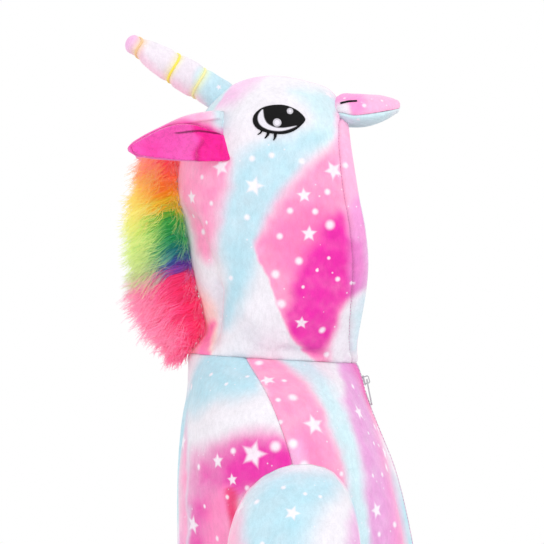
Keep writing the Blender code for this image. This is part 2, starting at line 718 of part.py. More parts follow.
def mane():
    """A backing strip on the centre-back seam whose outer face is drawn out into locks."""
    trees = [facets(name) for name in ("hood_left", "hood_right", "back_left", "back_right")]

    def seat(x, z):
        hits = [tree.ray_cast((x + beside, 300, z + near), (0, -1, 0))[0]
                for tree in trees for beside in (-0.5, 0.5) for near in (-3, 0, 3)]
        return max(hit.y for hit in hits if hit is not None)

    z_rows = np.linspace(MANE_TOP_Z, MANE_END_Z, MANE_ROWS + 1)
    x_columns = np.linspace(-MANE_HALF, MANE_HALF, MANE_COLUMNS + 1)
    seat_y = np.array([[seat(x, z) for x in x_columns] for z in z_rows])
    seat_y = np.maximum(seat_y, seat_y.min(axis=1, keepdims=True))
    base = np.stack(np.broadcast_arrays(x_columns, seat_y + 2.5 * GAP, z_rows[:, None]), -1)
    top = base + np.array((0, MANE_THICK, 0))
    rows, columns = MANE_ROWS + 1, MANE_COLUMNS + 1
    count = rows * columns
    points = [*top.reshape(-1, 3), *base.reshape(-1, 3)]
    faces = [face[::-1] for face in grid_faces(rows, columns, count)]
    line = ([c for c in range(columns)] + [r * columns + columns - 1 for r in range(1, rows)]
            + [(rows - 1) * columns + c for c in range(columns - 2, -1, -1)]
            + [r * columns for r in range(rows - 2, 0, -1)])
    faces += [(a, b, b + count, a + count) for a, b in zip(line, line[1:] + line[:1])]
    for r in range(MANE_ROWS):
        for c in range(MANE_COLUMNS):
            cell = [r * columns + c, r * columns + c + 1, (r + 1) * columns + c + 1,
                    (r + 1) * columns + c]
            corners = np.array([points[i] for i in cell])
            middle = corners.mean(0)
            length, dip_a, dip_b = (float(smooth(MANE, "z", key, middle[2]))
                                    for key in ("length", "start_dip", "end_dip"))
            length *= 1 - 0.12 * ((r * 7 + c * 3) % 4) / 3
            aside = np.radians(MANE_SPREAD) * middle[0] / MANE_HALF
            before, at, ring = 0.0, middle.copy(), cell
            for share, scale in zip(LOCK_RINGS, LOCK_SCALE):
                dip = np.radians(dip_a + (dip_b - dip_a) * share)
                step = length * (share - before)
                at = at + step * np.array((np.sin(aside) * np.cos(dip),
                                           np.cos(aside) * np.cos(dip), -np.sin(dip)))
                before = share
                offset = (corners - middle) * scale
                offset[:, 1] = -offset[:, 2] * np.sin(dip)
                offset[:, 2] *= np.cos(dip)
                new = list(range(len(points), len(points) + 4))
                points.extend(at + offset)
                faces += [(ring[i], ring[(i + 1) % 4], new[(i + 1) % 4], new[i])
                          for i in range(4)]
                ring = new
            faces.append(tuple(ring))
    return mesh_object("mane", np.array(points), faces, FUR)


mane()


# ---------------------------------------------------------------- zip
def front_point(x, z, lift):
    """A place on the centre front, moved out by `lift`, and the way out there."""
    angle = angle_at_x(np.array(abs(x)), np.array(float(z)))
    place = body_surface(angle, np.array(float(z)))
    out = body_normal(angle, np.array(float(z)))
    out = out * np.array((np.sign(x), 1, 1))
    return place * np.array((np.sign(x), 1, 1)) + lift * out, out


def zip_tape():
    """The strip between the fronts that carries the teeth."""
    rows = [z for z in body_rows() if z > ZIP_END_Z]
    levels = []
    for lift in (0.0, -CLOTH):
        grid = [[front_point(x, z, lift)[0] for x in (-ZIP_HALF, 0, ZIP_HALF)] for z in rows]
        levels.append(np.array(grid))
    return wall("zip_tape", *levels, TAPE)


zip_tape()

SLIDER_Z = -8.0
SLIDER_HALF = np.array((3.6, 5.0))     # half width and half height of the wing plate
SLIDER_THICK = 1.6
HINGE_HEIGHT = 2.0                     # hinge above the plate's face
BAIL_HALF = 1.0
PULL_LENGTH, PULL_HALF, PULL_THICK = 26.0, 4.0, 1.4
PULL_BAR_HALF = 0.8
PULL_EYE_HALF, PULL_EYE_END = 1.9, 6.0


def box_frame(centre, down, out):
    """Turns (across, down, out) places on a small part into the garment's millimetres."""
    across = np.array((1.0, 0, 0))
    return lambda a, d, o: centre + a * across + d * down + o * out


def extruded(name, outline, hole, place, low, high, finish):
    """A plate from an outline of (across, down) with one hole, between two levels."""
    count, inner = len(outline), len(hole)
    points = [place(a, d, level) for level in (low, high) for a, d in outline + hole]
    total = count + inner
    faces = [(i, (i + 1) % count, total + (i + 1) % count, total + i) for i in range(count)]
    faces += [(count + (i + 1) % inner, count + i, total + count + i,
               total + count + (i + 1) % inner) for i in range(inner)]
    for level, turned in ((0, True), (total, False)):
        for i in range(inner):
            quad = (level + i, level + (i + 1) % inner, level + count + (i + 1) % inner,
                    level + count + i)
            faces.append(quad[::-1] if turned else quad)
    return mesh_object(name, np.array(points), faces, finish)


def zip_parts():
    """The slider with its bail, and the pull tab hung on it, lying on the cloth."""
    seat, out = front_point(1e-9, SLIDER_Z, 2 * GAP)
    seat[0], out[0] = 0, 0
    out = out / np.linalg.norm(out)
    down = np.cross(out, (1.0, 0, 0))
    down = down * -np.sign(down[2])
    place = box_frame(seat, down, out)
    half_a, half_d = SLIDER_HALF
    plate = [(-half_a, -half_d), (half_a, -half_d), (half_a * 0.8, half_d), (-half_a * 0.8, half_d)]
    top = SLIDER_THICK
    profile = [(-4.2, top), (-4.2, top + 3.6), (-2.8, top + 4.8), (2.8, top + 4.8),
               (4.2, top + 3.6), (4.2, top), (2.8, top), (2.8, top + 3.2), (2.2, top + 3.7),
               (-2.2, top + 3.7), (-2.8, top + 3.2), (-2.8, top)]
    shape = bmesh.new()
    low = [shape.verts.new(place(a, d, 0) * MM) for a, d in plate]
    high = [shape.verts.new(place(a, d, top) * MM) for a, d in plate]
    shape.faces.new(low)
    shape.faces.new(high)
    for i in range(4):
        shape.faces.new((low[i], low[(i + 1) % 4], high[(i + 1) % 4], high[i]))
    mesh = bpy.data.meshes.new("zip_slider")
    bmesh.ops.recalc_face_normals(shape, faces=shape.faces)
    shape.to_mesh(mesh)
    shape.free()
    mesh.materials.append(METAL)
    slider = bpy.data.objects.new("zip_slider", mesh)
    bpy.context.scene.collection.objects.link(slider)
    sides = [[place(a, d, o - 0.4 * (o == top)) for d, o in profile]
             for a in (-BAIL_HALF, BAIL_HALF)]
    count = len(profile)
    faces = [tuple(range(count)), tuple(range(2 * count - 1, count - 1, -1))]
    faces += [(i, (i + 1) % count, count + (i + 1) % count, count + i) for i in range(count)]
    bail = mesh_object("bail_shape", np.array(sides[0] + sides[1]), faces, METAL)
    bail.hide_render = True
    bail.display_type = "WIRE"
    union = slider.modifiers.new("bail", "BOOLEAN")
    union.operation = "UNION"
    union.object = bail

    hinge = place(0, 0, top + HINGE_HEIGHT)
    rest, rest_out = front_point(1e-9, hinge[2] - PULL_LENGTH, 3 * GAP + PULL_THICK / 2)
    rest[0] = 0
    fall = (rest - hinge) / np.linalg.norm(rest - hinge)
    face = np.cross((1.0, 0, 0), fall)
    face = face * -np.sign(face[1])
    hang = box_frame(hinge, fall, face)
    ends = PULL_LENGTH - 2.0
    outline = [(-PULL_HALF * 0.75, -PULL_BAR_HALF), (PULL_HALF * 0.75, -PULL_BAR_HALF),
               (PULL_HALF, ends), (PULL_HALF * 0.6, PULL_LENGTH), (-PULL_HALF * 0.6, PULL_LENGTH),
               (-PULL_HALF, ends)]
    hole = [(-PULL_EYE_HALF, PULL_BAR_HALF), (PULL_EYE_HALF, PULL_BAR_HALF),
            (PULL_EYE_HALF, PULL_EYE_END - 1), (PULL_EYE_HALF * 0.6, PULL_EYE_END),
            (-PULL_EYE_HALF * 0.6, PULL_EYE_END), (-PULL_EYE_HALF, PULL_EYE_END - 1)]
    half = PULL_THICK / 2
    extruded("zip_pull", outline, hole, hang, -half, half, METAL)
    return hinge


zip_parts()
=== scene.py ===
"""Child's unicorn onesie in tie-dye flannel fleece with white stars, worn by nobody.

The pieces are dressed in the order a maker sews them: fronts and backs, sleeves, hood, horn,
ears, muzzle, eyes, mane and zip. Sizes are in millimetres and turned to metres on the way into
each mesh; -Y is the wearer's front, -X the wearer's right, and +Z up.
"""
import bpy
import bmesh
import numpy as np
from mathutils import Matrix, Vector
from mathutils.bvhtree import BVHTree


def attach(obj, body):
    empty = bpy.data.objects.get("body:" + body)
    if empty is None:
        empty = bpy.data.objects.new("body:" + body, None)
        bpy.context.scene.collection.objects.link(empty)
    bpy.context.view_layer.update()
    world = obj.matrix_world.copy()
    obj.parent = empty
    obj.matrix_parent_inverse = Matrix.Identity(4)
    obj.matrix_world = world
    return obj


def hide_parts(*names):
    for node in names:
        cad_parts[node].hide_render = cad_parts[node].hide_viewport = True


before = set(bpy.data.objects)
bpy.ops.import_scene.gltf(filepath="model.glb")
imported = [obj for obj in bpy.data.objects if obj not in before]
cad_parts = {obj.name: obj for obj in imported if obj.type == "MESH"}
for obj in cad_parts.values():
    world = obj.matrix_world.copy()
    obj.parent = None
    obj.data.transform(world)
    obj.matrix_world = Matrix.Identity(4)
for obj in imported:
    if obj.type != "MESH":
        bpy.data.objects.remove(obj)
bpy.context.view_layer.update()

# ---- fronts and backs
# Two fronts and two backs in polyester flannel fleece, tie-dyed pink, magenta and ice blue
# with white stars, cut from the neck to the ankle. They are overlocked at the shoulders,
# sides, centre back and inside legs, so each seam lies in a soft groove.
MM, STEP = 0.001, 1e-3                         # STEP: a small move, to measure slopes with
FLEECE, SEAM_GAP = 3.0, 0.3                    # thickness of the wall, gap in a seam
RIGHT, LEFT = -1, 1
SIDES = (("right", RIGHT), ("left", LEFT))


def table(columns, *rows):
    """A table with named columns, one row for each section."""
    return dict(zip(columns.split(), np.array(rows, float).T))


def smooth(held, name, at):
    """A column of a table as a smooth curve of its first column."""
    knots, values = next(iter(held.values())), held[name]
    if knots[0] > knots[-1]:
        knots, values = knots[::-1], values[::-1]
    slopes = np.gradient(values, knots)
    at = np.asarray(at, float)
    i = np.clip(np.searchsorted(knots, at) - 1, 0, len(knots) - 2)
    span, rise = knots[i + 1] - knots[i], values[i + 1] - values[i]
    t = (at - knots[i]) / span
    bend_a, bend_b = slopes[i] * span - rise, rise - slopes[i + 1] * span
    return values[i] + t * rise + t * (1 - t) * (bend_a * (1 - t) + bend_b * t)


def smooth_all(held, at):
    return [smooth(held, name, at) for name in list(held)[1:]]


def part(value):
    return np.clip(value, 0, 1)


def ease(value):
    """0 to 1 with soft ends."""
    value = part(value)
    return value * value * (3 - 2 * value)


def bell(away, reach):
    """1 in the middle, fading to 0 on both sides."""
    return np.exp(-(away / reach) ** 2)


def unit(ways):
    return ways / np.linalg.norm(ways, axis=-1, keepdims=True)


def around(count):
    return np.linspace(0, 2 * np.pi, count, endpoint=False)


# Cross-sections of one half: an ellipse that the centre seam cuts off above the crotch
BODY = table("z outer centre front back tilt seam", (12, 68, 0, -62, 107, 5, 49),
    (2, 84, 0, -65, 107, 4, 42), (-5, 100, 0, -67, 107, 3, 37), (-22, 125, 0, -71, 108, 2, 27),
    (-50, 145, 0, -81, 113, 1, 15), (-93, 152, 0, -98, 117, 0, 2), (-146, 145, 0, -112, 118, 0, 0),
    (-203, 134, 0, -122, 117, 0, 0), (-260, 138, 6, -127, 115, 0, 0),
    (-330, 147, 20, -128, 117, 0, 0), (-400, 156, 42, -124, 120, 0, 0),
    (-450, 159, 58, -118, 118, 0, 0), (-490, 160, 71, -112, 112, 0, 0),
    (-520, 160, 80, -106, 106, 0, 0), (-560, 158, 82.5, -98, 99, 0, 0),
    (-640, 151, 85.5, -83, 86, 0, 2), (-720, 147, 88, -71, 75, 0, 4),
    (-800, 150, 92, -65, 69, 0, 5), (-838, 154, 94.5, -63, 69, 0, 5))
NECK_Z, HEM_Z, CROTCH_Z = 12, -838, -520
ZIP_END_Z, ZIP_HALF = -470, 5.0
ARM_Y, ARM_Z = 0.0, -148.0                     # the armhole is an oval in the side view
ARM_HALF_WIDTH, ARM_HALF_HEIGHT = 57.0, 55.0
# Troughs (-) and ridges (+) of the cloth from one place (across, z) to another, with half
# width and depth: the large ones that the solids have too, then finer ones laid over them
BACK_FOLDS = ((26, -24, 30, -330, 9, -6), (44, -50, 47, -300, 11, 3), (88, -120, 60, -340, 15, -5),
    (20, -455, 110, -400, 16, -6), (25, -500, 120, -470, 14, 5), (60, -690, 120, -668, 12, -5),
    (56, -778, 132, -790, 11, -6), (58, -758, 134, -768, 10, 4), (70, -30, 96, -150, 5, -1.4),
    (112, -70, 100, -210, 6, -1.6), (12, -90, 16, -260, 5, -1.5), (60, -330, 90, -600, 8, -2.2),
    (100, -560, 60, -640, 7, -2), (50, -730, 130, -720, 6, -1.8), (70, -815, 140, -806, 5, -1.6))
FRONT_FOLDS = ((40, -60, 46, -300, 12, -4), (74, -90, 64, -330, 14, 4),
    (104, -190, 84, -420, 14, -5), (14, -500, 100, -430, 14, -6), (26, -540, 120, -490, 13, 5),
    (60, -640, 130, -655, 13, -6), (60, -622, 128, -632, 11, 4), (60, -785, 136, -772, 11, -6),
    (60, -806, 138, -796, 10, 4), (86, -30, 112, -96, 5, -1.3), (22, -120, 30, -330, 6, -1.6),
    (58, -160, 52, -400, 6, -1.5), (90, -470, 70, -610, 8, -2), (70, -700, 130, -712, 7, -1.8),
    (66, -742, 126, -738, 6, -1.5))
SIDE_FOLDS = ((-52, -222, 10, -330, 13, -5), (48, -226, 20, -360, 13, -5),
    (-40, -430, 30, -410, 15, 4), (-12, -2, -36, -26, 4, -1.6), (-40, -32, -56, -104, 4.5, -1.8),
    (64, -40, 52, -96, 6, -1.2), (-50, -520, 20, -600, 10, -2.5), (40, -640, -30, -700, 9, -2.2))


def relief(folds, across, z):
    """Height of one view's folds; each fades at its ends and to both sides."""
    total = np.zeros(np.shape(z))
    for ax, az, bx, bz, half_width, depth in folds:
        run = np.array((bx - ax, bz - az))
        length = np.hypot(*run)
        t = ((across - ax) * run[0] + (z - az) * run[1]) / length ** 2
        aside = ((across - ax) * run[1] - (z - az) * run[0]) / length
        ends = part(t / 0.25) * part((1 - t) / 0.25)
        total = total + depth * (bell(aside, half_width) * ends ** 2 * (3 - 2 * ends))
    return total


def body_shape(z):
    """Centre, half width, middle and half depth of the section at height z."""
    outer, centre, front, back = smooth_all(BODY, z)[:4]
    return centre, outer - centre, (front + back) / 2, (back - front) / 2


def body_plain(angle, z):
    """Left half of the body: angle 0 at the side, +90 degrees in front, -90 at the back."""
    centre, half_width, middle, half_depth = body_shape(z)
    y = middle - half_depth * np.sin(angle)
    lift = smooth(BODY, "tilt", z) * (y - middle) / half_depth
    return np.stack((centre + half_width * np.cos(angle), y, z + lift), -1)


def slope_normal(surface, u, v, du, dv):
    """Unit normals of a surface, from its slopes along u and v."""
    along_u = surface(u + du, v) - surface(u - du, v)
    along_v = surface(u, v + dv) - surface(u, v - dv)
    return unit(np.cross(along_v, along_u))


def body_surface(angle, z):
    """The body with its folds."""
    point = body_plain(angle, z)
    x, y, height = np.moveaxis(point, -1, 0)
    facing = -np.sin(angle)
    folds = (relief(BACK_FOLDS, x, height) * part(facing * 1.5)
             + relief(FRONT_FOLDS, x, height) * part(-facing * 1.5)
             + relief(SIDE_FOLDS, y, height) * part(np.cos(angle) * 1.5))
    return point + folds[..., None] * slope_normal(body_plain, angle, z, STEP, 0.1)


def angle_at_y(y, z):
    """Angle on the outer side where the section at height z has this y."""
    _, _, middle, half_depth = body_shape(z)
    return np.arcsin(np.clip((middle - y) / half_depth, -1, 1))


def angle_at_x(x, z):
    """Angle in front where the section at height z comes to this x, or the inseam's angle."""
    centre, half_width, _, _ = body_shape(z)
    inseam = np.pi - SEAM_GAP / 2 / half_width
    return np.minimum(np.arccos(np.clip((x - centre) / half_width, -1, 1)), inseam)


def in_neck_plane(out):
    """Turns the ways out along the neck seam into the seam's own tilted plane."""
    rise = BODY["tilt"][0] / ((BODY["back"][0] - BODY["front"][0]) / 2)
    return unit(np.stack((out[..., 0], out[..., 1], out[..., 1] * rise), -1))


def side_edge(z, facing):
    """Angle of a panel's outer edge: the shoulder and side seam, or the armhole."""
    seam = angle_at_y(smooth(BODY, "seam", z), z)
    inside = 1 - ((z - ARM_Z) / ARM_HALF_HEIGHT) ** 2
    reach = ARM_HALF_WIDTH * np.sqrt(part(inside))
    armhole = angle_at_y(ARM_Y - facing * reach, z)
    edge = np.where(inside > 1e-6, facing * np.maximum(facing * seam, facing * armhole), seam)
    return edge + facing * SEAM_GAP / 2 / 140


def cloud(points, size, seed):
    """Soft irregular waves about `size` millimetres long, between about -1 and 1."""
    random = np.random.default_rng(seed)
    ways = random.normal(size=(10, 3))
    pitch = 2 * np.pi / size * random.uniform(0.55, 1.5, 10) / np.linalg.norm(ways, axis=1)
    ways *= pitch[:, None]
    return np.sin(points @ ways.T + random.uniform(0, 2 * np.pi, 10)).mean(-1) * 2.0


def edge_reach(grid, axis):
    """Each point's way along the cloth from the first and from the last edge of an axis."""
    steps = np.linalg.norm(np.diff(grid, axis=axis), axis=-1)
    start = np.concatenate((np.zeros_like(np.take(steps, [0], axis)), np.cumsum(steps, axis)),
                           axis)
    return start, np.take(start, [-1], axis) - start


SEAM_DEPTH, SEAM_WIDTH = 1.25, 4.5             # how far the cloth dips into a seam
PUCKER, PUCKER_LENGTH, PUCKER_REACH = 0.4, 11.0, 9.0


def sink_seams(grid, out, seams):
    """Rounds the cloth down into its seams, with small uneven puckers beside each.

    `seams` gives a strength for the first row, last row, first column and last column.
    """
    height = np.zeros(grid.shape[:2])
    for reach, strength in zip((*edge_reach(grid, 0), *edge_reach(grid, 1)), seams):
        dip = part(1 - reach / SEAM_WIDTH) ** 2 * np.sign(strength)
        ripple = cloud(grid, PUCKER_LENGTH, 5) * bell(reach, PUCKER_REACH) * (1 - dip)
        height -= SEAM_DEPTH * dip - PUCKER * strength * ripple
    return grid + height[..., None] * out


def grid_faces(rows, columns, start=0, ring=False):
    """Quads between neighbouring rows of a grid of points."""
    return [(start + r * columns + c, start + r * columns + (c + 1) % columns,
             start + (r + 1) * columns + (c + 1) % columns, start + (r + 1) * columns + c)
            for r in range(rows - 1) for c in range(columns if ring else columns - 1)]


def placed(name, data):
    made = bpy.data.objects.new(name, data)
    bpy.context.scene.collection.objects.link(made)
    return made


def mesh_object(name, points, faces, right_faces=None, merged=True):
    """A closed piece from points in millimetres; its first faces may be its right side."""
    mesh = bpy.data.meshes.new(name)
    mesh.from_pydata((np.asarray(points, float) * MM).tolist(), [], faces)
    if right_faces is not None:
        mesh.attributes.new("right_side", "INT", "FACE").data.foreach_set(
            "value", (np.arange(len(faces)) < right_faces).astype(np.int32))
    shape = bmesh.new()
    shape.from_mesh(mesh)
    if merged:
        bmesh.ops.remove_doubles(shape, verts=shape.verts, dist=2e-6)
        bmesh.ops.dissolve_degenerate(shape, edges=shape.edges, dist=1e-7)
    bmesh.ops.recalc_face_normals(shape, faces=shape.faces)
    shape.to_mesh(mesh)
    shape.free()
    mesh.shade_smooth()
    return placed(name, mesh)


def cloth_wall(name, outer, inner, side, ring=False):
    """A closed wall: a fine right side and an inner side of every second row and column."""
    fine, coarse = (np.arange(grid[..., 0].size).reshape(grid.shape[:2])
                    for grid in (outer, inner))
    coarse += fine.size
    faces = grid_faces(*fine.shape, 0, ring)
    right_faces = len(faces)
    faces += [face[::-1] for face in grid_faces(*coarse.shape, fine.size, ring)]
    if ring:
        fine, coarse = (np.append(ids, ids[:, :1], 1) for ids in (fine, coarse))
    rims = [(fine[end], coarse[end]) for end in (0, -1)]
    if not ring:
        rims += [(fine[:, end], coarse[:, end]) for end in (0, -1)]
    for a, b in rims:
        a, b = a.tolist(), b.tolist()
        faces += [(a[2 * i], a[2 * i + 1], a[2 * i + 2], b[i + 1], b[i])
                  for i in range(len(b) - 1)]
    points = np.concatenate((outer.reshape(-1, 3), inner.reshape(-1, 3)))
    return mesh_object(name, points * (side, 1, 1), faces, right_faces)


def tone(red, green, blue):
    """A dye from its sRGB values."""
    value = np.array((red, green, blue)) / 255
    return np.where(value <= 0.04045, value / 12.92, ((value + 0.055) / 1.055) ** 2.4)


WHITE, ICE, BLUE = tone(230, 226, 233), tone(200, 226, 233), tone(175, 215, 228)
PINK, ROSE, BLUSH = tone(250, 140, 189), tone(250, 118, 178), tone(252, 178, 214)
MAGENTA, ORCHID, LILAC = tone(228, 44, 164), tone(222, 142, 206), tone(236, 180, 222)
PEACH, STAR_WHITE = tone(252, 214, 204), tone(240, 233, 241)


def rounded(corners, steps):
    """A closed smooth curve through corners, with some steps from each to the next."""
    here = np.array(corners, float)
    before, after, beyond = (np.roll(here, shift, 0) for shift in (1, -1, -2))
    parts = [0.5 * (2 * here + (after - before) * t
                    + (2 * before - 5 * here + 4 * after - beyond) * t ** 2
                    + (3 * here - before - 3 * after + beyond) * t ** 3)
             for t in np.arange(steps) / steps]
    return np.stack(parts, 1).reshape(-1, here.shape[1])


def patch_cover(outline, y, z):
    """0 to 1: how fully each point lies inside a soft outline."""
    start, soft = outline[:, :2], np.maximum(outline[:, 2], 0.5)
    low, high = start.min(0) - soft.max(), start.max(0) + soft.max()
    near = (y > low[0]) & (y < high[0]) & (z > low[1]) & (z < high[1])
    cover = np.zeros(y.shape)
    place = np.stack((y[near], z[near]), -1)[:, None]
    if not len(place):
        return cover
    run = np.roll(start, -1, 0) - start
    t = part(((place - start) * run).sum(-1) / (run ** 2).sum(-1))
    gap = np.linalg.norm(place - start - t[..., None] * run, axis=-1)
    nearest = gap.argmin(1)
    rows = np.arange(len(nearest))
    softness = soft[nearest] + t[rows, nearest] * (np.roll(soft, -1) - soft)[nearest]
    above = start[:, 1] > place[..., 1]
    crossing = (above != np.roll(above, -1, 1)) & (
        place[..., 0] < run[:, 0] * (place[..., 1] - start[:, 1])
        / np.where(run[:, 1] == 0, 1e-9, run[:, 1]) + start[:, 0])
    inside = np.where(crossing.sum(1) % 2, 1, -1)
    cover[near] = ease(0.5 + inside * gap[rows, nearest] / (2 * softness))
    return cover


LOOSE_TONES = np.array((WHITE, ICE, BLUE, WHITE, BLUSH, PINK, MAGENTA, ORCHID, LILAC, WHITE))
LOOSE_PLACES = (0, 0.1, 0.24, 0.36, 0.46, 0.56, 0.68, 0.8, 0.9, 1)
LOOSE_WAY, LOOSE_LENGTH = np.array((0.35, 0.72, 0.6)), 210.0


def blend_tones(at, knots, tones):
    """Dyes between some tones, each at its own knot."""
    return np.stack([np.interp(at, knots, shades) for shades in np.transpose(tones)], -1)


def loose_dye(points, seed):
    """Slanting watery bands of all the dyes, for the cloth away from the sides."""
    phase = (points @ LOOSE_WAY / LOOSE_LENGTH + 0.2 * cloud(points, 190, seed)
             + 0.05 * cloud(points, 40, seed + 1)) % 1
    return blend_tones(phase, LOOSE_PLACES, LOOSE_TONES)


def toward(colour, share, dye):
    """Part of the way from a colour to a dye."""
    return colour + np.asarray(share)[..., None] * (dye - colour)


def tie_dye(points, base, patches, seed):
    """Colour of each point: patches of dye run over a base, uneven as they dried.

    A patch is a dye, its cover and the corners (y, z, softness) of its outline from the side.
    """
    y, z = (points[:, axis] + 2.2 * cloud(points, 42, own) + 0.9 * cloud(points, 13, own + 1)
            for axis, own in ((1, seed), (2, seed + 2)))
    wet = 1 + 0.10 * cloud(points, 26, seed + 4) + 0.06 * cloud(points, 9, seed + 5)
    colour = np.tile(base, (len(points), 1))
    for dye, cover, *corners in patches:
        share = part(cover * wet * patch_cover(rounded(corners, 4), y, z))
        colour = toward(colour, share, dye)
    return colour


def read(items, key, width=1, kind=float):
    """One property of all the items of a mesh."""
    values = np.zeros(len(items) * width, kind)
    items.foreach_get(key, values)
    return values if width == 1 else values.reshape(-1, width)


def corners_of(mesh):
    """The vertex of each face corner, and the number of corners of each face."""
    return (read(mesh.loops, "vertex_index", 1, np.int32),
            read(mesh.polygons, "loop_total", 1, np.int32))


def right_side(mesh):
    """Which faces are on the right side of the cloth."""
    flags = mesh.attributes.get("right_side")
    if flags is None:
        return np.ones(len(mesh.polygons), bool)
    return read(flags.data, "value", 1, np.int32) > 0


def places(piece):
    """Vertex positions in millimetres and vertex normals."""
    mesh = piece.data
    return read(mesh.vertices, "co", 3) / MM, read(mesh.vertex_normals, "vector", 3)


INNER_FADE = 0.55      # the print shows through paler on the wrong side


def store_dye(layers, colour):
    layer = layers.new("dye", "FLOAT_COLOR", "POINT")
    layer.data.foreach_set("color", np.insert(colour, 3, 1, 1).ravel())


def write_dye(piece, colour, fade=INNER_FADE):
    """Stores the dye of each vertex, paler on the wrong side of the cloth."""
    mesh = piece.data
    corner, totals = corners_of(mesh)
    right = np.zeros((len(mesh.vertices), 1), bool)
    right[corner[np.repeat(right_side(mesh), totals)]] = True
    store_dye(mesh.color_attributes, np.where(right, colour, colour + fade * (WHITE - colour)))


def store_map(mesh, name, corners):
    mesh.uv_layers.new(name=name).data.foreach_set("uv", corners.ravel())


DOT_SHIFT = 20.0       # moves a dot's place in the print map, so that it isn't drawn as a star
STAR_AREA = 1050.0     # square millimetres of cloth for each printed mark
STAR_CLEAR, STAR_REACH = 9.0, 1.5
DOT_SHARE, DOT_SIZES, STAR_SIZES = 0.66, (1.6, 4.2), (4.2, 7.5)
OFF_MAP = 9.0          # a place in the print map that is beyond every mark


def print_marks(piece, side, stars, dots, seed, charted):
    """Maps the printed stars and dots onto the right side of a piece.

    `stars` and `dots` (y, z, size) are given one by one in the side view, and `charted` tells
    which faces they are for; elsewhere marks are strewn at random from a fixed seed.
    """
    mesh = piece.data
    centre, normal = read(mesh.polygons, "center", 3) / MM, read(mesh.polygons, "normal", 3)
    area, right = read(mesh.polygons, "area") / MM ** 2, right_side(mesh)
    random = np.random.default_rng(seed)
    marks = []
    away = np.where(right & (normal[:, 0] * side > 0.15), 0, 1e6)
    for rows, shift in ((stars, 0.0), (dots, DOT_SHIFT)):
        for y, z, size in rows:
            gap = np.hypot(centre[:, 1] - y, centre[:, 2] - z) + away
            if gap.min() < 5:
                marks.append((gap.argmin(), size, shift))
    free = np.flatnonzero(right & ~charted(centre, normal))
    wanted = area[free].sum() / STAR_AREA
    tries = random.choice(free, int(wanted * 3), p=area[free] / area[free].sum()) if len(
        free) else ()
    for face in tries:
        dot = random.random() < DOT_SHARE
        size = random.uniform(*(DOT_SIZES if dot else STAR_SIZES))
        if min((np.linalg.norm(centre[face] - centre[other]) - size - held
                for other, held, _ in marks), default=STAR_CLEAR) < STAR_CLEAR:
            continue
        if wanted <= 0:
            break
        wanted -= 1
        marks.append((face, size, DOT_SHIFT if dot else 0.0))
    owner, best = np.full(len(area), -1), np.full(len(area), STAR_REACH)
    for i, (face, size, _) in enumerate(marks):
        share = np.linalg.norm(centre - centre[face], axis=1) / (size + 1)
        share[~right | (normal @ normal[face] < 0.2)] = OFF_MAP
        closer = share < best
        owner[closer], best[closer] = i, share[closer]
    corner, totals = corners_of(mesh)
    corner_owner = np.repeat(owner, totals)
    points, _ = places(piece)
    print_map = np.full((len(corner), 2), OFF_MAP)
    for i, (face, size, shift) in enumerate(marks):
        mine = np.flatnonzero(corner_owner == i)
        across = unit(np.cross((0.02, 0.01, 1.0), normal[face]))
        along = np.cross(normal[face], across)
        turn = random.uniform(-0.5, 0.5)
        place = (points[corner[mine]] - centre[face]) / size
        print_map[mine, 0] = place @ (np.cos(turn) * across + np.sin(turn) * along) + shift
        print_map[mine, 1] = place @ (np.cos(turn) * along - np.sin(turn) * across)
    store_map(mesh, "print", print_map)


# Nodes are laid out by small helpers. An input is set or linked by its name, or by its
# number as in `_0`; a key in lower case is a setting of the node itself.
def wire(target, **inputs):
    for key, value in inputs.items():
        socket = target.inputs[int(key[1:]) if key[0] == "_" else key.replace("_", " ")]
        if isinstance(value, bpy.types.NodeSocket):
            target.id_data.links.new(value, socket)
        else:
            socket.default_value = value
    return target


def node(tree, kind, **given):
    """Adds a node and gives its outputs."""
    made = tree.nodes.new(next(family + kind for family in (
        "ShaderNode", "GeometryNode", "FunctionNode", "") if hasattr(bpy.types, family + kind)))
    for key in [key for key in given if key[0].islower()]:
        setattr(made, key, given.pop(key))
    return wire(made, **given).outputs


# The next ones are added to the tree of their first socket
def maths(a, operation, b=0.0, c=0.0):
    return node(a.id_data, "Math", operation=operation, _0=a, _1=b, _2=c)[0]


def times(a, b):
    return maths(a, "MULTIPLY", b)


def plus(a, b):
    return maths(a, "ADD", b)


def mapped(value, low, high, to_low=0.0, to_high=1.0):
    return node(value.id_data, "MapRange", interpolation_type="SMOOTHSTEP", Value=value,
                From_Min=low, From_Max=high, To_Min=to_low, To_Max=to_high)[0]


def mixed(share, a, b):
    return node(share.id_data, "Mix", data_type="RGBA", _0=share, _6=a, _7=b)[2]


def scaled(value, by):
    return node(value.id_data, "VectorMath", operation="SCALE", _0=value, Scale=by)[0]


def grain(place, scale, detail=2.0, roughness=0.5):
    return node(place.id_data, "TexNoise", Vector=place, Scale=scale, Detail=detail,
                Roughness=roughness)[0]


def stretched(place, *scale):
    return node(place.id_data, "Mapping", Vector=place, Scale=scale)[0]


def bump(height, distance, strength=1.0):
    return node(height.id_data, "Bump", Strength=strength, Distance=distance, Height=height)[0]


def new_tree(kind, name, inputs, outputs):
    """A node tree with named sockets, each given by its type or by its first value."""
    tree = bpy.data.node_groups.new(name, kind + "NodeTree")
    types = {float: "Float", int: "Int", tuple: "Color"}
    for way, sockets in (("INPUT", inputs), ("OUTPUT", outputs)):
        for key, value in sockets.items():
            made = tree.interface.new_socket(key.replace("_", " "), in_out=way, socket_type=(
                "NodeSocket" + types.get(type(value), str(value))))
            if type(value) in types:
                made.default_value = value
    return tree, node(tree, "NodeGroupInput"), tree.nodes.new("NodeGroupOutput")


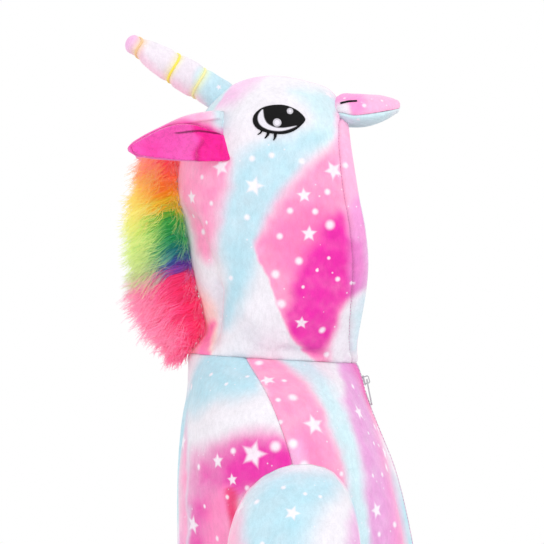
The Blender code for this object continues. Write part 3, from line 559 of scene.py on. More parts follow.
# Mask of the white stars and dots from their places in the print map
STAR_PRINT, given, result = new_tree("Shader", "Star print", dict(Place="Vector"),
                                     dict(Mask="Float"))
x, y, _ = node(STAR_PRINT, "SeparateXYZ", Vector=given["Place"])
is_dot = maths(x, "GREATER_THAN", DOT_SHIFT / 2)
x = maths(is_dot, "MULTIPLY_ADD", -DOT_SHIFT, x)
radius = maths(plus(times(x, x), times(y, y)), "SQRT")
fold = maths(maths(x, "ARCTAN2", y), "PINGPONG", np.pi / 5)
tip, side = (times(radius, maths(fold, way)) for way in ("COSINE", "SINE"))
edge = maths(tip, "MULTIPLY_ADD", 0.4426, maths(side, "MULTIPLY_ADD", 0.8967, -0.4426))
star, dot = mapped(edge, 0.25, -0.12), mapped(radius, 1.5, 0.35)
not_dot = node(STAR_PRINT, "Math", operation="SUBTRACT", _0=1.0, _1=is_dot, _2=0.0)[0]
wire(result, Mask=plus(times(dot, is_dot), times(star, not_dot)))

# Brushed flannel: mottled dye, lint-fine dots, a nap lying in patches and its relief
FLANNEL, given, result = new_tree(
    "Shader", "Flannel fleece",
    dict(Dye=(1, 1, 1, 1), Mark=0.0, Position="Vector", Mark_White=(1, 1, 1, 1), Nap=1.0,
         Specks=1.0), dict(Colour="Color", Roughness="Float", Height="Float"))
place = given["Position"]
pools = grain(place, 55.0, 3.0, 0.6)
lying = grain(stretched(place, 1, 1, 0.45), 260.0, 3.0, 0.6)
fibres = grain(stretched(place, 1, 1, 0.35), 1500.0, 2.0, 0.7)
cells = node(FLANNEL, "TexVoronoi", feature="F1", Vector=place, Scale=120.0, Randomness=1.0)
chance = node(FLANNEL, "SeparateColor", Color=cells["Color"])["Red"]
speck = times(mapped(cells["Distance"], 0.15, 0.08), maths(chance, "GREATER_THAN", 0.62))
white = maths(times(given["Mark"], 0.9), "MAXIMUM", times(times(speck, given["Specks"]), 0.6))
shade = plus(mapped(pools, 0.25, 0.75, -0.035, 0.035),
             plus(mapped(lying, 0.25, 0.75, -0.05, 0.05),
                  mapped(fibres, 0.2, 0.8, -0.06, 0.06)))
bright = maths(shade, "MULTIPLY_ADD", given["Nap"], 1.0)
wire(result,
     Colour=scaled(mixed(white, given["Dye"], given["Mark White"]), bright),
     Roughness=mapped(lying, 0.3, 0.7, 0.82, 0.96),
     Height=plus(times(lying, 0.7), times(fibres, 0.35)))


def finish_material(name, roughness, metallic=0.0):
    """A new material, its tree and its shader; constants go straight onto the sockets."""
    made = bpy.data.materials.new(name)
    made.use_nodes = True
    tree = made.node_tree
    shader = wire(tree.nodes["Principled BSDF"], Roughness=roughness, Metallic=metallic)
    made.diffuse_color = (0.9, 0.7, 0.85, 1)
    return made, tree, shader


def place_in(tree):
    return node(tree, "TexCoord")["Object"]


def dye_in(tree):
    return node(tree, "Attribute", attribute_name="dye")["Color"]


# Printed flannel fleece: its dye comes from the piece and its marks from the piece's own map
PRINTED_FLEECE, tree, shader = finish_material("printed_fleece", 0.9)
marks = node(tree, "Group", node_tree=STAR_PRINT, Place=node(tree, "UVMap", uv_map="print")[0])
cloth = node(tree, "Group", node_tree=FLANNEL, Dye=dye_in(tree), Mark=marks["Mask"],
             Position=place_in(tree), Mark_White=(*STAR_WHITE, 1), Nap=1.0, Specks=1.0)
wire(shader, Base_Color=cloth["Colour"], Roughness=cloth["Roughness"],
     Normal=bump(cloth["Height"], 0.0012, 0.5), Sheen_Weight=0.3, Sheen_Roughness=0.45,
     Specular_IOR_Level=0.15)


def dress(piece, finish, node_name=None):
    """Gives a piece its finish and hangs it on the garment, in place of its CAD solid."""
    if finish:
        piece.data.materials.append(finish)
    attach(piece, "garment")
    if node_name:
        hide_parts(node_name)
    return piece


def dress_fleece(piece, node_name, colour, side, stars, dots, seed, charted, fade=INNER_FADE):
    write_dye(piece, colour, fade)
    print_marks(piece, side, stars, dots, seed, charted)
    return dress(piece, PRINTED_FLEECE, node_name)


def cut_flat(panel):
    """Measures a panel's area on its right side and its height, and leaves both unused."""
    area = sum(read(panel.data.polygons, "area")[right_side(panel.data)])
    tall = np.ptp(read(panel.data.vertices, "co", 3)[:, 2])


BODY_ROWS_FINE, BODY_ROWS_ARM, BODY_ROWS_LOW, BODY_COLUMNS = 2.6, 44, 127, 65


def body_rows():
    """Heights of the rows: fine to the armhole's end and wider apart further down."""
    top = np.arange(NECK_Z, ARM_Z + ARM_HALF_HEIGHT, -BODY_ROWS_FINE)
    arm = ARM_Z + ARM_HALF_HEIGHT * np.cos(np.linspace(0, np.pi, BODY_ROWS_ARM + 1))
    low = np.linspace(ARM_Z - ARM_HALF_HEIGHT, HEM_Z, BODY_ROWS_LOW)[1:]
    low = np.insert(low, np.searchsorted(-low, -CROTCH_Z), CROTCH_Z)
    rows = np.concatenate((top, arm, low))
    return rows if len(rows) % 2 else np.delete(rows, -3)


BACK_DYE = (
    (BLUE, 0.95, (109, 18, 8), (49, 22, 4), (33, -14, 10), (55, -22, 14), (81, -27, 14),
        (105, -38, 12)),
    (MAGENTA, 0.8, (105, -100, 16), (89, -76, 14), (63, -62, 12), (33, -56, 12), (3, -66, 8),
        (3, -98, 8), (33, -108, 8), (55, -122, 8), (65, -150, 14), (81, -230, 20),
        (109, -230, 16)),
    (MAGENTA, 0.85, (69, -92, 16), (49, -70, 14), (9, -72, 10), (3, -92, 6), (33, -104, 6),
        (55, -116, 12), (67, -110, 14)),
    (PINK, 0.75, (89, -130, 12), (59, -118, 6), (59, -230, 10), (87, -230, 14)),
    # painted shadow: a deep rose strip on the back panel beside the sleeve's rear edge, where the
    # sleeve shades it
    (tone(228, 48, 108), 0.85, (69, -116, 3), (64, -112, 2), (56, -122, 3), (54, -150, 4),
        (54, -178, 5), (62, -178, 2.5), (64, -146, 2.5)),
    (MAGENTA, 0.5, (111, -136, 10), (91, -130, 14), (91, -190, 14), (109, -200, 12)),
    (ICE, 0.8, (118, 18, 3), (107, 18, 3), (105, -230, 3), (110, -230, 3)),
    (PINK, 0.8, (145, 30, 3), (110, 18, 3), (111, -230, 2), (145, -230, 3)))
BACK_STARS = ((42, -79, 11), (75, -85, 6.5), (100, -149, 8), (62, -103, 5))
BACK_DOTS = ((19, -71, 5), (60, -74, 3), (47, -111, 2.6), (83, -2, 2.4), (47, -4, 2.2),
    (68, -12, 2.2), (94, -92, 3), (66, -119, 2.2), (76, -160, 2.6), (89, -130, 2))
FRONT_DYE = (
    (PINK, 0.85, (55, 24, 3), (23, 18, 5), (-7, -4, 8), (-27, -32, 8), (-45, -72, 6),
        (-51, -130, 6), (7, -130, 6), (25, -30, 4)),
    (ROSE, 0.5, (-1, -54, 10), (-17, -54, 8), (-31, -80, 10), (-19, -92, 10), (-5, -76, 10)),
    (LILAC, 0.75, (9, -70, 8), (-7, -70, 10), (-9, -96, 8), (9, -98, 8)),
    (ICE, 0.95, (37, 24, 5), (-9, 14, 5), (-37, -14, 6), (-55, -54, 6), (-67, -108, 6),
        (-81, -230, 6), (-61, -230, 6), (-49, -110, 6), (-35, -54, 7), (-17, -14, 8), (11, 6, 6)),
    (ORCHID, 0.85, (-45, 10, 4), (-63, 12, 5), (-69, -22, 6), (-83, -54, 8), (-97, -100, 9),
        (-105, -150, 9), (-109, -230, 10), (-77, -230, 5), (-71, -136, 5), (-63, -80, 6),
        (-51, -40, 6), (-47, -14, 5)),
    (PINK, 0.55, (-79, -50, 8), (-97, -50, 6), (-145, -130, 12), (-145, -230, 16),
        (-101, -230, 14), (-95, -130, 10)))
FRONT_STARS = ((-17.5, -50, 9), (27, -6, 7), (-62, -39, 7), (-79, -134, 7))
FRONT_DOTS = ((36, 9, 4), (11, -9, 2.6), (3, -23, 4.4), (17, -27, 2.6), (2, -67, 4.6),
    (-9, -88, 4.4), (15, -48, 2.4), (-57, -16, 2.6), (-77, -71, 2), (-82, -74, 2), (-72, -60, 1.8),
    (-75, -100, 2), (-85, -100, 2.4), (-45, -97, 2.4), (-82, -158, 2.4), (-97, -150, 3))
DYE_END_Z, DYE_FADE, CHART_END_Z = -215, 45, -172      # the side view's patches end here


def body_panel(node_name, side, facing, patches, stars, dots, from_middle, seed):
    """A front (facing +1) or back (facing -1), dressed from the neck seam to the ankle hem."""
    z = body_rows()
    edge_x = np.full(z.shape, SEAM_GAP / 2)
    if facing > 0:
        edge_x = np.where(z > ZIP_END_Z, ZIP_HALF + SEAM_GAP, edge_x)
    outer_edge, middle_edge = side_edge(z, facing), facing * angle_at_x(edge_x, z)
    across = np.linspace(0, 1, BODY_COLUMNS)
    angle = outer_edge[:, None] + (middle_edge - outer_edge)[:, None] * across
    height = np.repeat(z[:, None], BODY_COLUMNS, 1)
    plain = body_surface(angle, height)
    out = slope_normal(body_surface, angle, height, STEP, 0.1)
    out[0] = in_neck_plane(out[0])
    panel = cloth_wall(node_name + "_cloth", sink_seams(plain, out, (0.6, 0.6, 0.8, 0.5)),
                       (plain - FLEECE * out)[::2, ::2], side)
    points, _ = places(panel)
    shown = (ease((points[:, 2] - DYE_END_Z) / DYE_FADE)
             * ease((np.abs(points[:, 0]) - from_middle) / 30))
    colour = toward(loose_dye(points, seed), shown, tie_dye(points, WHITE, patches, seed))
    dress_fleece(panel, node_name, colour, side, stars, dots, seed, lambda centre, normal: (
        (np.abs(normal[:, 0]) > 0.25) & (centre[:, 2] > CHART_END_Z)))
    cut_flat(panel)
    return panel


panels = {}
for word, side in SIDES:
    for name, *sewn in (("front", 1, FRONT_DYE, FRONT_STARS, FRONT_DOTS, 20, 20 + side),
                        ("back", -1, BACK_DYE, BACK_STARS, BACK_DOTS, 34, 30 + side)):
        panels[name, side] = body_panel("%s_%s" % (name, word), side, *sewn)


# ---- sleeves
# Two dropped sleeves of the same fleece, each a tube set over the armhole on a low cap seam
# and folding at the elbow, with a plain turned cuff.
SLEEVE = table("ring outer_x outer_z inner_x inner_z half_width shift_y",
    (0, 152, -93, 134, -203, 58.5, 0), (1, 171, -101, 139, -208, 62, 1),
    (2, 191, -119, 144, -216, 64, 2), (3, 207, -147, 149, -230, 64, 2),
    (4, 217, -182, 155, -249, 62, 1), (5, 226, -225, 162, -275, 58, -2),
    (6, 234, -275, 170, -309, 54, -6), (7, 243, -330, 179, -352, 49, -12),
    (8, 252, -382, 188, -398, 45, -18), (9, 256, -406, 192, -420, 44, -20))
SLEEVE_FOLDS = ((0.2, 5.2, 1.1, 0.35, -5), (-0.2, 6.1, 1.0, 0.35, -5), (0.4, 5.7, 1.2, 0.35, 3),
    (3.3, 5.6, 0.9, 0.4, -5), (3.0, 6.6, 1.0, 0.4, -4), (1.5, 4.2, 0.5, 1.1, -3),
    (-1.6, 3.4, 0.6, 1.0, 3), (2.4, 7.6, 1.1, 0.35, -4), (-0.6, 8.0, 1.1, 0.35, -4),
    (2.75, 1.9, 0.16, 1.0, -1.8), (0.55, 2.0, 0.2, 1.1, -1.2), (1.2, 3.0, 0.18, 1.6, -1.0),
    (0.9, 6.6, 0.7, 0.2, -1.8), (1.9, 5.0, 0.6, 0.2, -1.8), (-2.6, 5.9, 0.6, 0.2, -1.6))
CAP_LIFT = table("angle lift", (-1.6, 0), (-0.4, 0), (0.3, 6), (0.9, 10), (1.57, 6.5), (2.3, 3),
    (3.4, 0), (4.7, 0))
SLEEVE_SEAT, SLEEVE_SIDES, SLEEVE_STEPS, CUFF_STITCH = 0.8, 132, 121, 18.0


def on_body(y, z):
    """The sleeve seam's x at y and z, out from the body along its slope."""
    centre, half, middle, half_depth = body_shape(z)
    beside = (y - middle) / half_depth
    across = np.sqrt(np.clip(1 - beside ** 2, 0.01, 1))
    lean = np.hypot(across / half, beside / half_depth) / (across / half)
    return centre + half * across + SLEEVE_SEAT * lean


def sleeve_plain(angle, ring):
    """Left sleeve: angle 0 in front, +90 degrees on the outer side."""
    outer_x, outer_z, inner_x, inner_z, half_width, shift = smooth_all(SLEEVE, ring)
    x = (outer_x + inner_x) / 2 + (outer_x - inner_x) / 2 * np.sin(angle)
    z = (outer_z + inner_z) / 2 + (outer_z - inner_z) / 2 * np.sin(angle)
    y = shift - half_width * np.cos(angle)
    turned = np.mod(angle + np.pi / 2, 2 * np.pi) - np.pi / 2
    z = z + smooth(CAP_LIFT, "lift", turned) * ease(1 - ring / 3.5)
    near = part(1 - ring / 2.2) ** 2
    return np.stack((x + near * (on_body(y, z) - x), y, z), -1)


def sleeve_surface(angle, ring):
    """The sleeve with its folds."""
    height = np.zeros(np.shape(ring))
    for at_angle, at_ring, reach_angle, reach_ring, depth in SLEEVE_FOLDS:
        turned = np.angle(np.exp(1j * (angle - at_angle)))
        height = height + depth * np.exp(-(turned / reach_angle) ** 2
                                         - ((ring - at_ring) / reach_ring) ** 2)
    return sleeve_plain(angle, ring) + height[..., None] * slope_normal(
        sleeve_plain, angle, ring, STEP, 0.01)


SLEEVE_DYE = (
    (BLUE, 0.85, (33, -100, 12), (-5, -92, 8), (-45, -104, 12), (-23, -130, 16), (-11, -170, 16),
        (-15, -250, 20), (39, -250, 16), (51, -170, 12), (49, -130, 12)),
    (ORCHID, 0.75, (-52, -142, 8), (-67, -130, 6), (-71, -250, 8), (-46, -250, 12)),
    (PINK, 0.6, (73, -110, 5), (55, -122, 8), (51, -160, 8), (55, -250, 8), (73, -250, 5)))
SLEEVE_STARS = ((3, -132, 6.5),)
SLEEVE_DOTS = ((37, -121, 3), (12, -108, 2.4), (-8, -114, 2), (-23, -116, 2), (32, -160, 2.4))


def facet_tree(piece):
    """The piece's facets in millimetres, to lay another piece on."""
    return BVHTree.FromPolygons(places(piece)[0].tolist(),
                                [tuple(f.vertices) for f in piece.data.polygons])


def hits(trees, starts, way):
    """Where the rays from some starts first meet the facets of some pieces."""
    found = [tree.ray_cast(start, way)[0] for tree in trees for start in starts]
    return [hit for hit in found if hit is not None]


def sleeve(word, side):
    # Rings close together at the cap, where the seam rounds over
    angle, ring = np.meshgrid(around(SLEEVE_SIDES), 9 * np.linspace(0, 1, SLEEVE_STEPS) ** 1.15)
    plain = sleeve_surface(angle, ring)
    out = slope_normal(sleeve_surface, angle, ring, STEP, 0.01)
    inner = (plain - FLEECE * out)[::2, ::2]
    closed = np.concatenate((plain, plain[:, :1]), 1)
    from_cap, from_cuff = (reach[:, :-1] for reach in edge_reach(closed, 0))
    ripple = cloud(plain, 13.0, 5)
    height = (PUCKER * 1.6 * ripple * bell(from_cap, 12)
              - 0.9 * part(1 - from_cap / 3.5) ** 2
              - 0.8 * bell(from_cuff - CUFF_STITCH, 1.5)
              - 1.2 * part(1 - from_cuff / 2.5) ** 2
              + 0.7 * part(1 - np.abs(from_cuff - 9) / 8)
              + 0.5 * ripple * bell(from_cuff - CUFF_STITCH, 7))
    outer = plain + height[..., None] * out
    trees = [facet_tree(panels[name, side]) for name in ("front", "back")]
    seat = np.array([max(hit.x * side for hit in hits(
        trees, [(400 * side, y + beside, z) for beside in (-0.8, 0, 0.8)], (-side, 0, 0)))
        for y, z in outer[0, :, 1:]])
    outer[..., 0] += bell(from_cap, 6) * (seat - 0.6 - outer[0, :, 0])
    inner[0, :, 0] = seat[::2] - 1.2
    tube = cloth_wall("sleeve_%s_cloth" % word, outer, inner, side, ring=True)
    points, normals = places(tube)
    shown = (ease((np.abs(normals[:, 0]) - 0.05) / 0.25)
             * ease((points[:, 2] - DYE_END_Z) / DYE_FADE)
             * ease((points[:, 0] * side - 130) / 20))
    colour = toward(loose_dye(points, 41), shown, tie_dye(points, WHITE, SLEEVE_DYE, 44))
    # painted shade: the cloth darkens along the cap seam, where shade falls into the seam
    colour[:from_cap.size] *= 1 - 0.4 * bell(from_cap.reshape(-1, 1), 1.2)
    dress_fleece(tube, "sleeve_" + word, colour, side, SLEEVE_STARS, SLEEVE_DOTS, 45 + side,
                 lambda centre, normal: (
                     (normal[:, 0] * side > 0.2) & (centre[:, 2] > CHART_END_Z)))
    cut_flat(tube)
    return np.array([[np.interp(-CUFF_STITCH, -from_cuff[:, c], line) for line in
                      (outer[:, c] + 0.3 * out[:, c]).T] for c in range(SLEEVE_SIDES)])


cuff_lines = [sleeve(word, side) * (side, 1, 1) for word, side in SIDES]


# ---- hood
# Two hood panels of the same fleece, joined over the crown and down the back and gathered a
# little into the neck seam; the face edge is turned in and topstitched 16 mm from the fold.
HOOD = table("row front_x front_y front_z back_y back_z wide", (0, 5.3, -61.7, 7, 107, 17, 68),
    (1, 27, -62, 27, 93, 37, 78), (2, 50, -66, 52, 93, 61, 88), (3, 67, -70, 78, 101, 92, 95),
    (4, 78, -72, 108, 107, 125, 99), (5, 82, -69, 141, 116, 165, 101),
    (6, 79, -63, 172, 116, 210, 99), (7, 70, -59, 198, 98, 247, 93),
    (8, 56, -56, 220, 67, 282, 81), (9, 39, -54, 237, 28, 294, 63),
    (10, 23, -53, 246, -15, 288, 41), (11, 9, -52.5, 250.5, -40, 275, 19),
    (11.6, 0.15, -52.5, 252, -52, 253, 2))
HOOD_TOP, HEM_WIDTH, HEM_RISE = 11.6, 16.5, 0.8
HOOD_FOLDS = ((118, 172, 74, 84, 10, -7), (76, 96, 86, 14, 9, -7), (100, 100, 60, 150, 14, 3),
    (22, 22, -40, 14, 5, -4), (60, 70, 20, 30, 12, 3), (-48, 60, -20, 150, 13, -3),
    (-30, 40, 10, 110, 14, 3), (40, 60, 30, 180, 15, -3), (106, 158, 80, 92, 3.8, -3.2),
    (78, 100, 84, 26, 3.4, -4.0), (52, 116, 62, 40, 6, -1.3), (38, 70, 50, 18, 5, -1.2),
    (-20, 128, -4, 60, 6, -1.2), (-40, 150, -28, 92, 5, -1.1), (30, 30, 12, 76, 6, -1.0),
    (70, 250, 88, 206, 7, -1.6), (-36, 236, -28, 190, 6, -1.2), (-4, 276, 22, 230, 12, 0.9))
HOOD_STEPS, HEM_COLUMNS, HOOD_COLUMNS = 145, 10, 103
GATHER, GATHER_LENGTH, GATHER_REACH = 0.9, 16.0, 20.0


def hood_plain(u, row):
    """Left hood panel: u 0 on the front edge, 1 on the centre seam."""
    front_x, front_y, front_z, back_y, back_z, wide = smooth_all(HOOD, row)
    depth = np.hypot(front_y - back_y, front_z - back_z)
    rear = depth / 2                           # the panel is widest half way back
    turn = np.arccos(np.clip(front_x / wide, 0, 0.995))
    fore = (depth - rear) / np.sin(turn)
    fore_length = np.hypot(depth - rear, wide - front_x)
    share = fore_length / (fore_length + np.pi / 2 * np.sqrt((rear ** 2 + wide ** 2) / 2))
    front_angle = turn * np.clip(1 - u / share, 0, None)
    back_angle = np.pi / 2 * np.minimum(1 - (u - share) / (1 - share), 1)
    in_front = u < share
    x = wide * np.where(in_front, np.cos(front_angle), np.sin(back_angle))
    run = np.where(in_front, rear + fore * np.sin(front_angle), rear * (1 - np.cos(back_angle)))
    y = back_y + (front_y - back_y) * run / depth
    z = back_z + (front_z - back_z) * run / depth
    return np.stack((x, y, z), -1)


def hood_normal(surface, u, row):
    return -slope_normal(surface, np.clip(u, 0.002, 0.998), np.minimum(row, HOOD_TOP - 0.25),
                         STEP, 0.01)


def hood_surface(u, row):
    """The hood panel with its folds."""
    point = hood_plain(u, row)
    fade = part((1 - u) / 0.12) * part(u / 0.08)
    folds = relief(HOOD_FOLDS, point[..., 1], point[..., 2]) * fade
    return point + folds[..., None] * hood_normal(hood_plain, u, row)


def hood_grid():
    """Places of the panel's points: narrow columns over the hem and the rest evenly spread."""
    rows = np.linspace(0, HOOD_TOP, HOOD_STEPS)
    ends = hood_plain(np.array((0.0, 0.1)), rows[:, None])
    per_u = np.linalg.norm(ends[:, 1] - ends[:, 0], axis=-1) / 0.1
    hem = np.minimum(1.15 * HEM_WIDTH / per_u, 0.14)[:, None]
    u = np.concatenate((hem * np.linspace(0, 1, HEM_COLUMNS + 1)[:-1],
                        hem + (1 - hem) * np.linspace(0, 1, HOOD_COLUMNS)), 1)
    return u, np.repeat(rows[:, None], u.shape[1], 1)


HOOD_DYE = (
    (ICE, 0.9, (7, 278, 8), (-21, 278, 8), (-47, 264, 6), (-49, 238, 8), (-25, 220, 10),
        (-5, 228, 10), (-17, 248, 10), (-9, 266, 10)),
    (BLUE, 0.8, (-1, 232, 12), (-27, 230, 10), (-11, 206, 10), (11, 174, 10), (31, 134, 10),
        (43, 88, 10), (55, 62, 10), (67, 40, 8), (71, 48, 8), (68, 86, 10), (75, 130, 10),
        (68, 174, 12), (55, 210, 14), (33, 224, 10)),
    (BLUE, 0.55, (61, 124, 8), (45, 120, 8), (49, 94, 8), (59, 64, 8), (69, 44, 6), (71, 64, 8),
        (63, 94, 8)),
    (PINK, 0.9, (-55, 246, 6), (-39, 222, 8), (-13, 202, 10), (15, 170, 10), (35, 134, 7),
        (38, 116, 2), (23, 80, 1.5), (5, 38, 1.5), (-11, 14, 2), (-35, 6, 6), (-41, 40, 8),
        (-57, 76, 7), (-67, 120, 8), (-65, 180, 8)),
    (ROSE, 0.75, (9, 156, 14), (-15, 170, 14), (-35, 160, 14), (-23, 120, 16), (-5, 90, 16),
        (23, 108, 12), (27, 130, 12)),
    (MAGENTA, 0.95, (-47, 156, 8), (-67, 146, 8), (-65, 80, 8), (-47, 66, 8), (-39, 40, 8),
        (-27, 18, 8), (-7, 22, 4), (9, 54, 5), (3, 72, 8), (0, 98, 10), (-22, 138, 14)),
    (BLUSH, 0.85, (-39, 254, 4), (-57, 254, 3), (-67, 170, 3), (-73, 130, 3), (-53, 134, 5),
        (-45, 186, 5)),
    (ORCHID, 0.7, (-55, 164, 6), (-79, 164, 3), (-81, 70, 3), (-55, 72, 6)),
    (WHITE, 0.9, (-55, 72, 5), (-85, 76, 3), (-85, 0, 3), (-35, 0, 5), (-41, 34, 7)),
    (ICE, 0.8, (-63, 70, 5), (-85, 70, 3), (-85, 24, 3), (-57, 20, 5)),
    (PINK, 0.85, (119, 212, 6), (67, 212, 5), (65, 188, 8), (71, 164, 10), (78, 134, 10),
        (83, 106, 8), (95, 114, 6), (105, 146, 6), (115, 174, 6)),
    (LILAC, 0.8, (86, 262, 6), (66, 288, 6), (45, 297, 4), (30, 293, 8), (47, 279, 9),
        (63, 262, 8)),
    (ICE, 0.95, (65, 286, 2), (78, 263, 2), (80, 255, 3), (98, 255, 4), (100, 280, 4),
        (80, 294, 3)),
    (PEACH, 0.8, (111, 78, 8), (89, 78, 8), (79, 52, 4), (81, 14, 4), (111, 10, 6)),
    (ROSE, 0.9, (88, 46, 9), (80, 47, 4), (82, 33, 3), (84, 8, 3), (100, 8, 8), (97, 32, 9)))
HOOD_STARS = ((-8, 174, 6), (-13, 134, 6.5), (-37, 198, 8), (-5, 48, 5.5), (40, 182, 8),
    (102, 171, 6.5), (73, 200, 8), (-33, 274, 5))
HOOD_DOTS = ((-31, 176, 3), (5, 159, 3), (-20, 157, 3), (-33, 143, 4.5), (16, 134, 3),
    (-4, 109, 3.6), (20, 97, 4), (14, 68, 4.4), (-27, 41, 3.4), (-42, 91, 2.4), (92, 191, 2.4),
    (82, 166, 2.4), (91, 139, 3), (43, 208, 3), (24, 213, 3), (-5, 206, 3), (-49, 202, 3),
    (48, 152, 3), (64, 91, 2.5), (25, 13, 3), (-30, 17, 3), (-55, 87, 2), (-7, 83, 1.6),
    (-21, 100, 1.6), (-33, 113, 1.6), (101, 154, 2.2), (87, 148, 2), (9, 30, 2))

hood_u, hood_row = hood_grid()
plain = hood_surface(hood_u, hood_row)
hood_out = hood_normal(hood_surface, hood_u, hood_row)
hood_out[:, -1, 0] = 0
hood_out[0] = in_neck_plane(hood_out[0])
hood_inner = (plain - FLEECE * hood_out)[::2, ::2]
from_face, from_neck = edge_reach(plain, 1)[0], edge_reach(plain, 0)[0]
ripple = cloud(plain * (1, 0.55, 1), 10.0, 7)
height = part((HOOD_TOP - hood_row) / 0.8) * (
    HEM_RISE * ease((HEM_WIDTH - from_face) / 2)
    - 1.6 * part(1 - from_face / 3.0) ** 2
    - 1.9 * bell(from_face - HEM_WIDTH, 1.4)
    + 0.75 * ripple * bell(from_face - HEM_WIDTH, 8)
    + GATHER * cloud(plain, GATHER_LENGTH, 9) * bell(from_neck, GATHER_REACH))
hood_outer = sink_seams(plain + height[..., None] * hood_out, hood_out, (0.7, 0.01, 0, 0.4))
for grid, row in ((hood_outer, hood_row), (hood_inner, hood_row[::2, ::2])):
    grid[..., 2] += 0.4 * SEAM_GAP * part(1 - row)
    grid[:, -1, 0] = SEAM_GAP / 2
    grid[..., 0] = np.maximum(grid[..., 0], SEAM_GAP / 2)
    grid[-1] = grid[-1, -1]


def hood_panel(word, side):
    panel = cloth_wall("hood_%s_cloth" % word, hood_outer, hood_inner, side)
    points, normals = places(panel)
    shown = ease((np.abs(normals[:, 0]) - 0.02) / 0.15)
    colour = toward(toward(WHITE, 0.5, loose_dye(points, 61)), shown,
                    tie_dye(points, WHITE, HOOD_DYE, 64))
    # painted shade: the cloth darkens in the groove along the hem's stitching line
    hem_groove_shade = bell(from_face.reshape(-1, 1) - HEM_WIDTH, 1.1)
    colour[:from_face.size] *= 1 - 0.2 * hem_groove_shade
    dress_fleece(panel, "hood_" + word, colour, side, HOOD_STARS, HOOD_DOTS, 65 + side,
                 lambda centre, normal: np.abs(normal[:, 0]) > 0.12)
    cut_flat(panel)
    return panel


for word, side in SIDES:
    panels["hood", side] = hood_panel(word, side)


# Topstitching: short stitches of one thread, laid along a line of points by a Geometry Nodes
# tree. The cuffs, ankle hems and zip edges further down use it too.
def geometry_tree(name, **sizes):
    return new_tree("Geometry", name, dict(Geometry="Geometry", **sizes),
                    dict(Geometry="Geometry"))


def base_lines(tree, given):
    return node(tree, "MeshToCurve", Mesh=given["Geometry"])[0]


def spaced(tree, given):
    return node(tree, "ResampleCurve", mode="LENGTH", Curve=base_lines(tree, given),
                Length=given["Pitch"])[0]


def finish_tree(tree, result, geometry, finish):
    real = node(tree, "RealizeInstances", Geometry=geometry)[0]
    wire(result, Geometry=node(tree, "SetMaterial", Geometry=real, Material=finish)[0])


def grown(name, lines, tree, colours=None, **sizes):
    """Runs a tree over lines of points in millimetres, as a plain mesh of its own."""
    base = bpy.data.meshes.new(name + "_lines")
    ends = np.cumsum([len(line) for line in lines])
    edges = [(i, i + 1) for i in range(ends[-1] - 1) if i + 1 not in ends]
    base.from_pydata((np.concatenate(lines) * MM).tolist(), edges, [])
    if colours:
        store_dye(base.attributes, np.concatenate(colours))
    made = placed(name, base)
    modifier = made.modifiers.new("grown", "NODES")
    modifier.node_group = tree
    for item in tree.interface.items_tree:
        if item.in_out == "INPUT" and item.name in sizes:
            modifier[item.identifier] = sizes[item.name]
    seen = made.evaluated_get(bpy.context.evaluated_depsgraph_get())
    mesh = bpy.data.meshes.new_from_object(seen)
    made.modifiers.remove(modifier)
    made.data = mesh
    mesh.name = name
    return made


def thread_material(name, colour):
    """Polyester sewing thread: two plies twisted, a little brighter than the cloth."""
    made, tree, shader = finish_material(name, 0.5)
    twist = grain(place_in(tree), 2600.0, 1.0)
    dull, bright = (*(colour * 0.75), 1), (*np.minimum(colour * 1.1, 1), 1)
    wire(shader, Base_Color=mixed(mapped(twist, 0.35, 0.65), dull, bright),
         Sheen_Weight=0.15, Normal=bump(twist, 0.0002))
    return made


TOPSTITCH, given, result = geometry_tree("Topstitch", Pitch=0.0034, Length=0.0024, Thread=0.0004)
points = spaced(TOPSTITCH, given)
tangent = node(TOPSTITCH, "InputTangent")[0]
turned = node(TOPSTITCH, "AlignRotationToVector", axis="Z", Vector=tangent)[0]
thread = node(TOPSTITCH, "MeshIcoSphere", Radius=1.0, Subdivisions=1)[0]
size = node(TOPSTITCH, "CombineXYZ", X=given["Thread"], Y=given["Thread"],
            Z=times(given["Length"], 0.5))[0]
laid = node(TOPSTITCH, "InstanceOnPoints", Points=points, Instance=thread, Rotation=turned,
            Scale=size)[0]
finish_tree(TOPSTITCH, result, laid, thread_material("face_thread", tone(214, 122, 184)))


def topstitch(name, lines):
    """Stitches 2.5 mm long along some lines."""
    dress(grown(name, lines, TOPSTITCH, Pitch=0.0036, Length=0.0025, Thread=0.00032), None)


near = round(HEM_COLUMNS / 1.15)               # the column of points on the hem's stitching
face_line = hood_outer[2:-6, near] + 0.25 * hood_out[2:-6, near]
topstitch("face_hem_stitches", [face_line * (side, 1, 1) for _, side in SIDES])


# ---- horn
# A stuffed, tapering tube of the same fleece, drawn in by a yellow satin cord wound round it
# as a loose helix, closed at the tip and sewn into the crown seam.
HORN_BASE, HORN_TIP = np.array((0, 71.0, 272.0)), np.array((0, 168.0, 330.0))
HORN_LENGTH = np.linalg.norm(HORN_TIP - HORN_BASE)
HORN_AXIS = (HORN_TIP - HORN_BASE) / HORN_LENGTH
# The stuffing bulges between the turns of the cord; "radius" is without the cord's groove
HORN = table("along radius", (-8, 16.6), (0, 16.4), (14, 16.2), (29, 17.0), (44, 16.9), (59, 16.2),
    (70, 15.3), (80, 13.9), (90, 12.3), (99, 10.8), (106, 10.1), (114, 9.5))
HORN_GROOVE, HORN_GROOVE_REACH = 2.2, 5.0
HORN_SIDES, HORN_RINGS = 72, 170
HORN_END, TIP_ROUND = 0.93, 0.0735             # the tip rounds off past HORN_END
# Where the cord passes on the wearer's right side, in millimetres from the base seam
WINDING = table("count along", (-1, -8), (0, 29), (1, 58), (2, 99), (3, 140))
CORD_THICK, CORD_LEAN, CORD_PITCH = 1.3, 0.17, 34


def cord_lag(from_right):
    """The cord lies nearly square to the horn on its right side and climbs on its left."""
    return from_right / (2 * np.pi) - CORD_LEAN * np.sin(from_right)


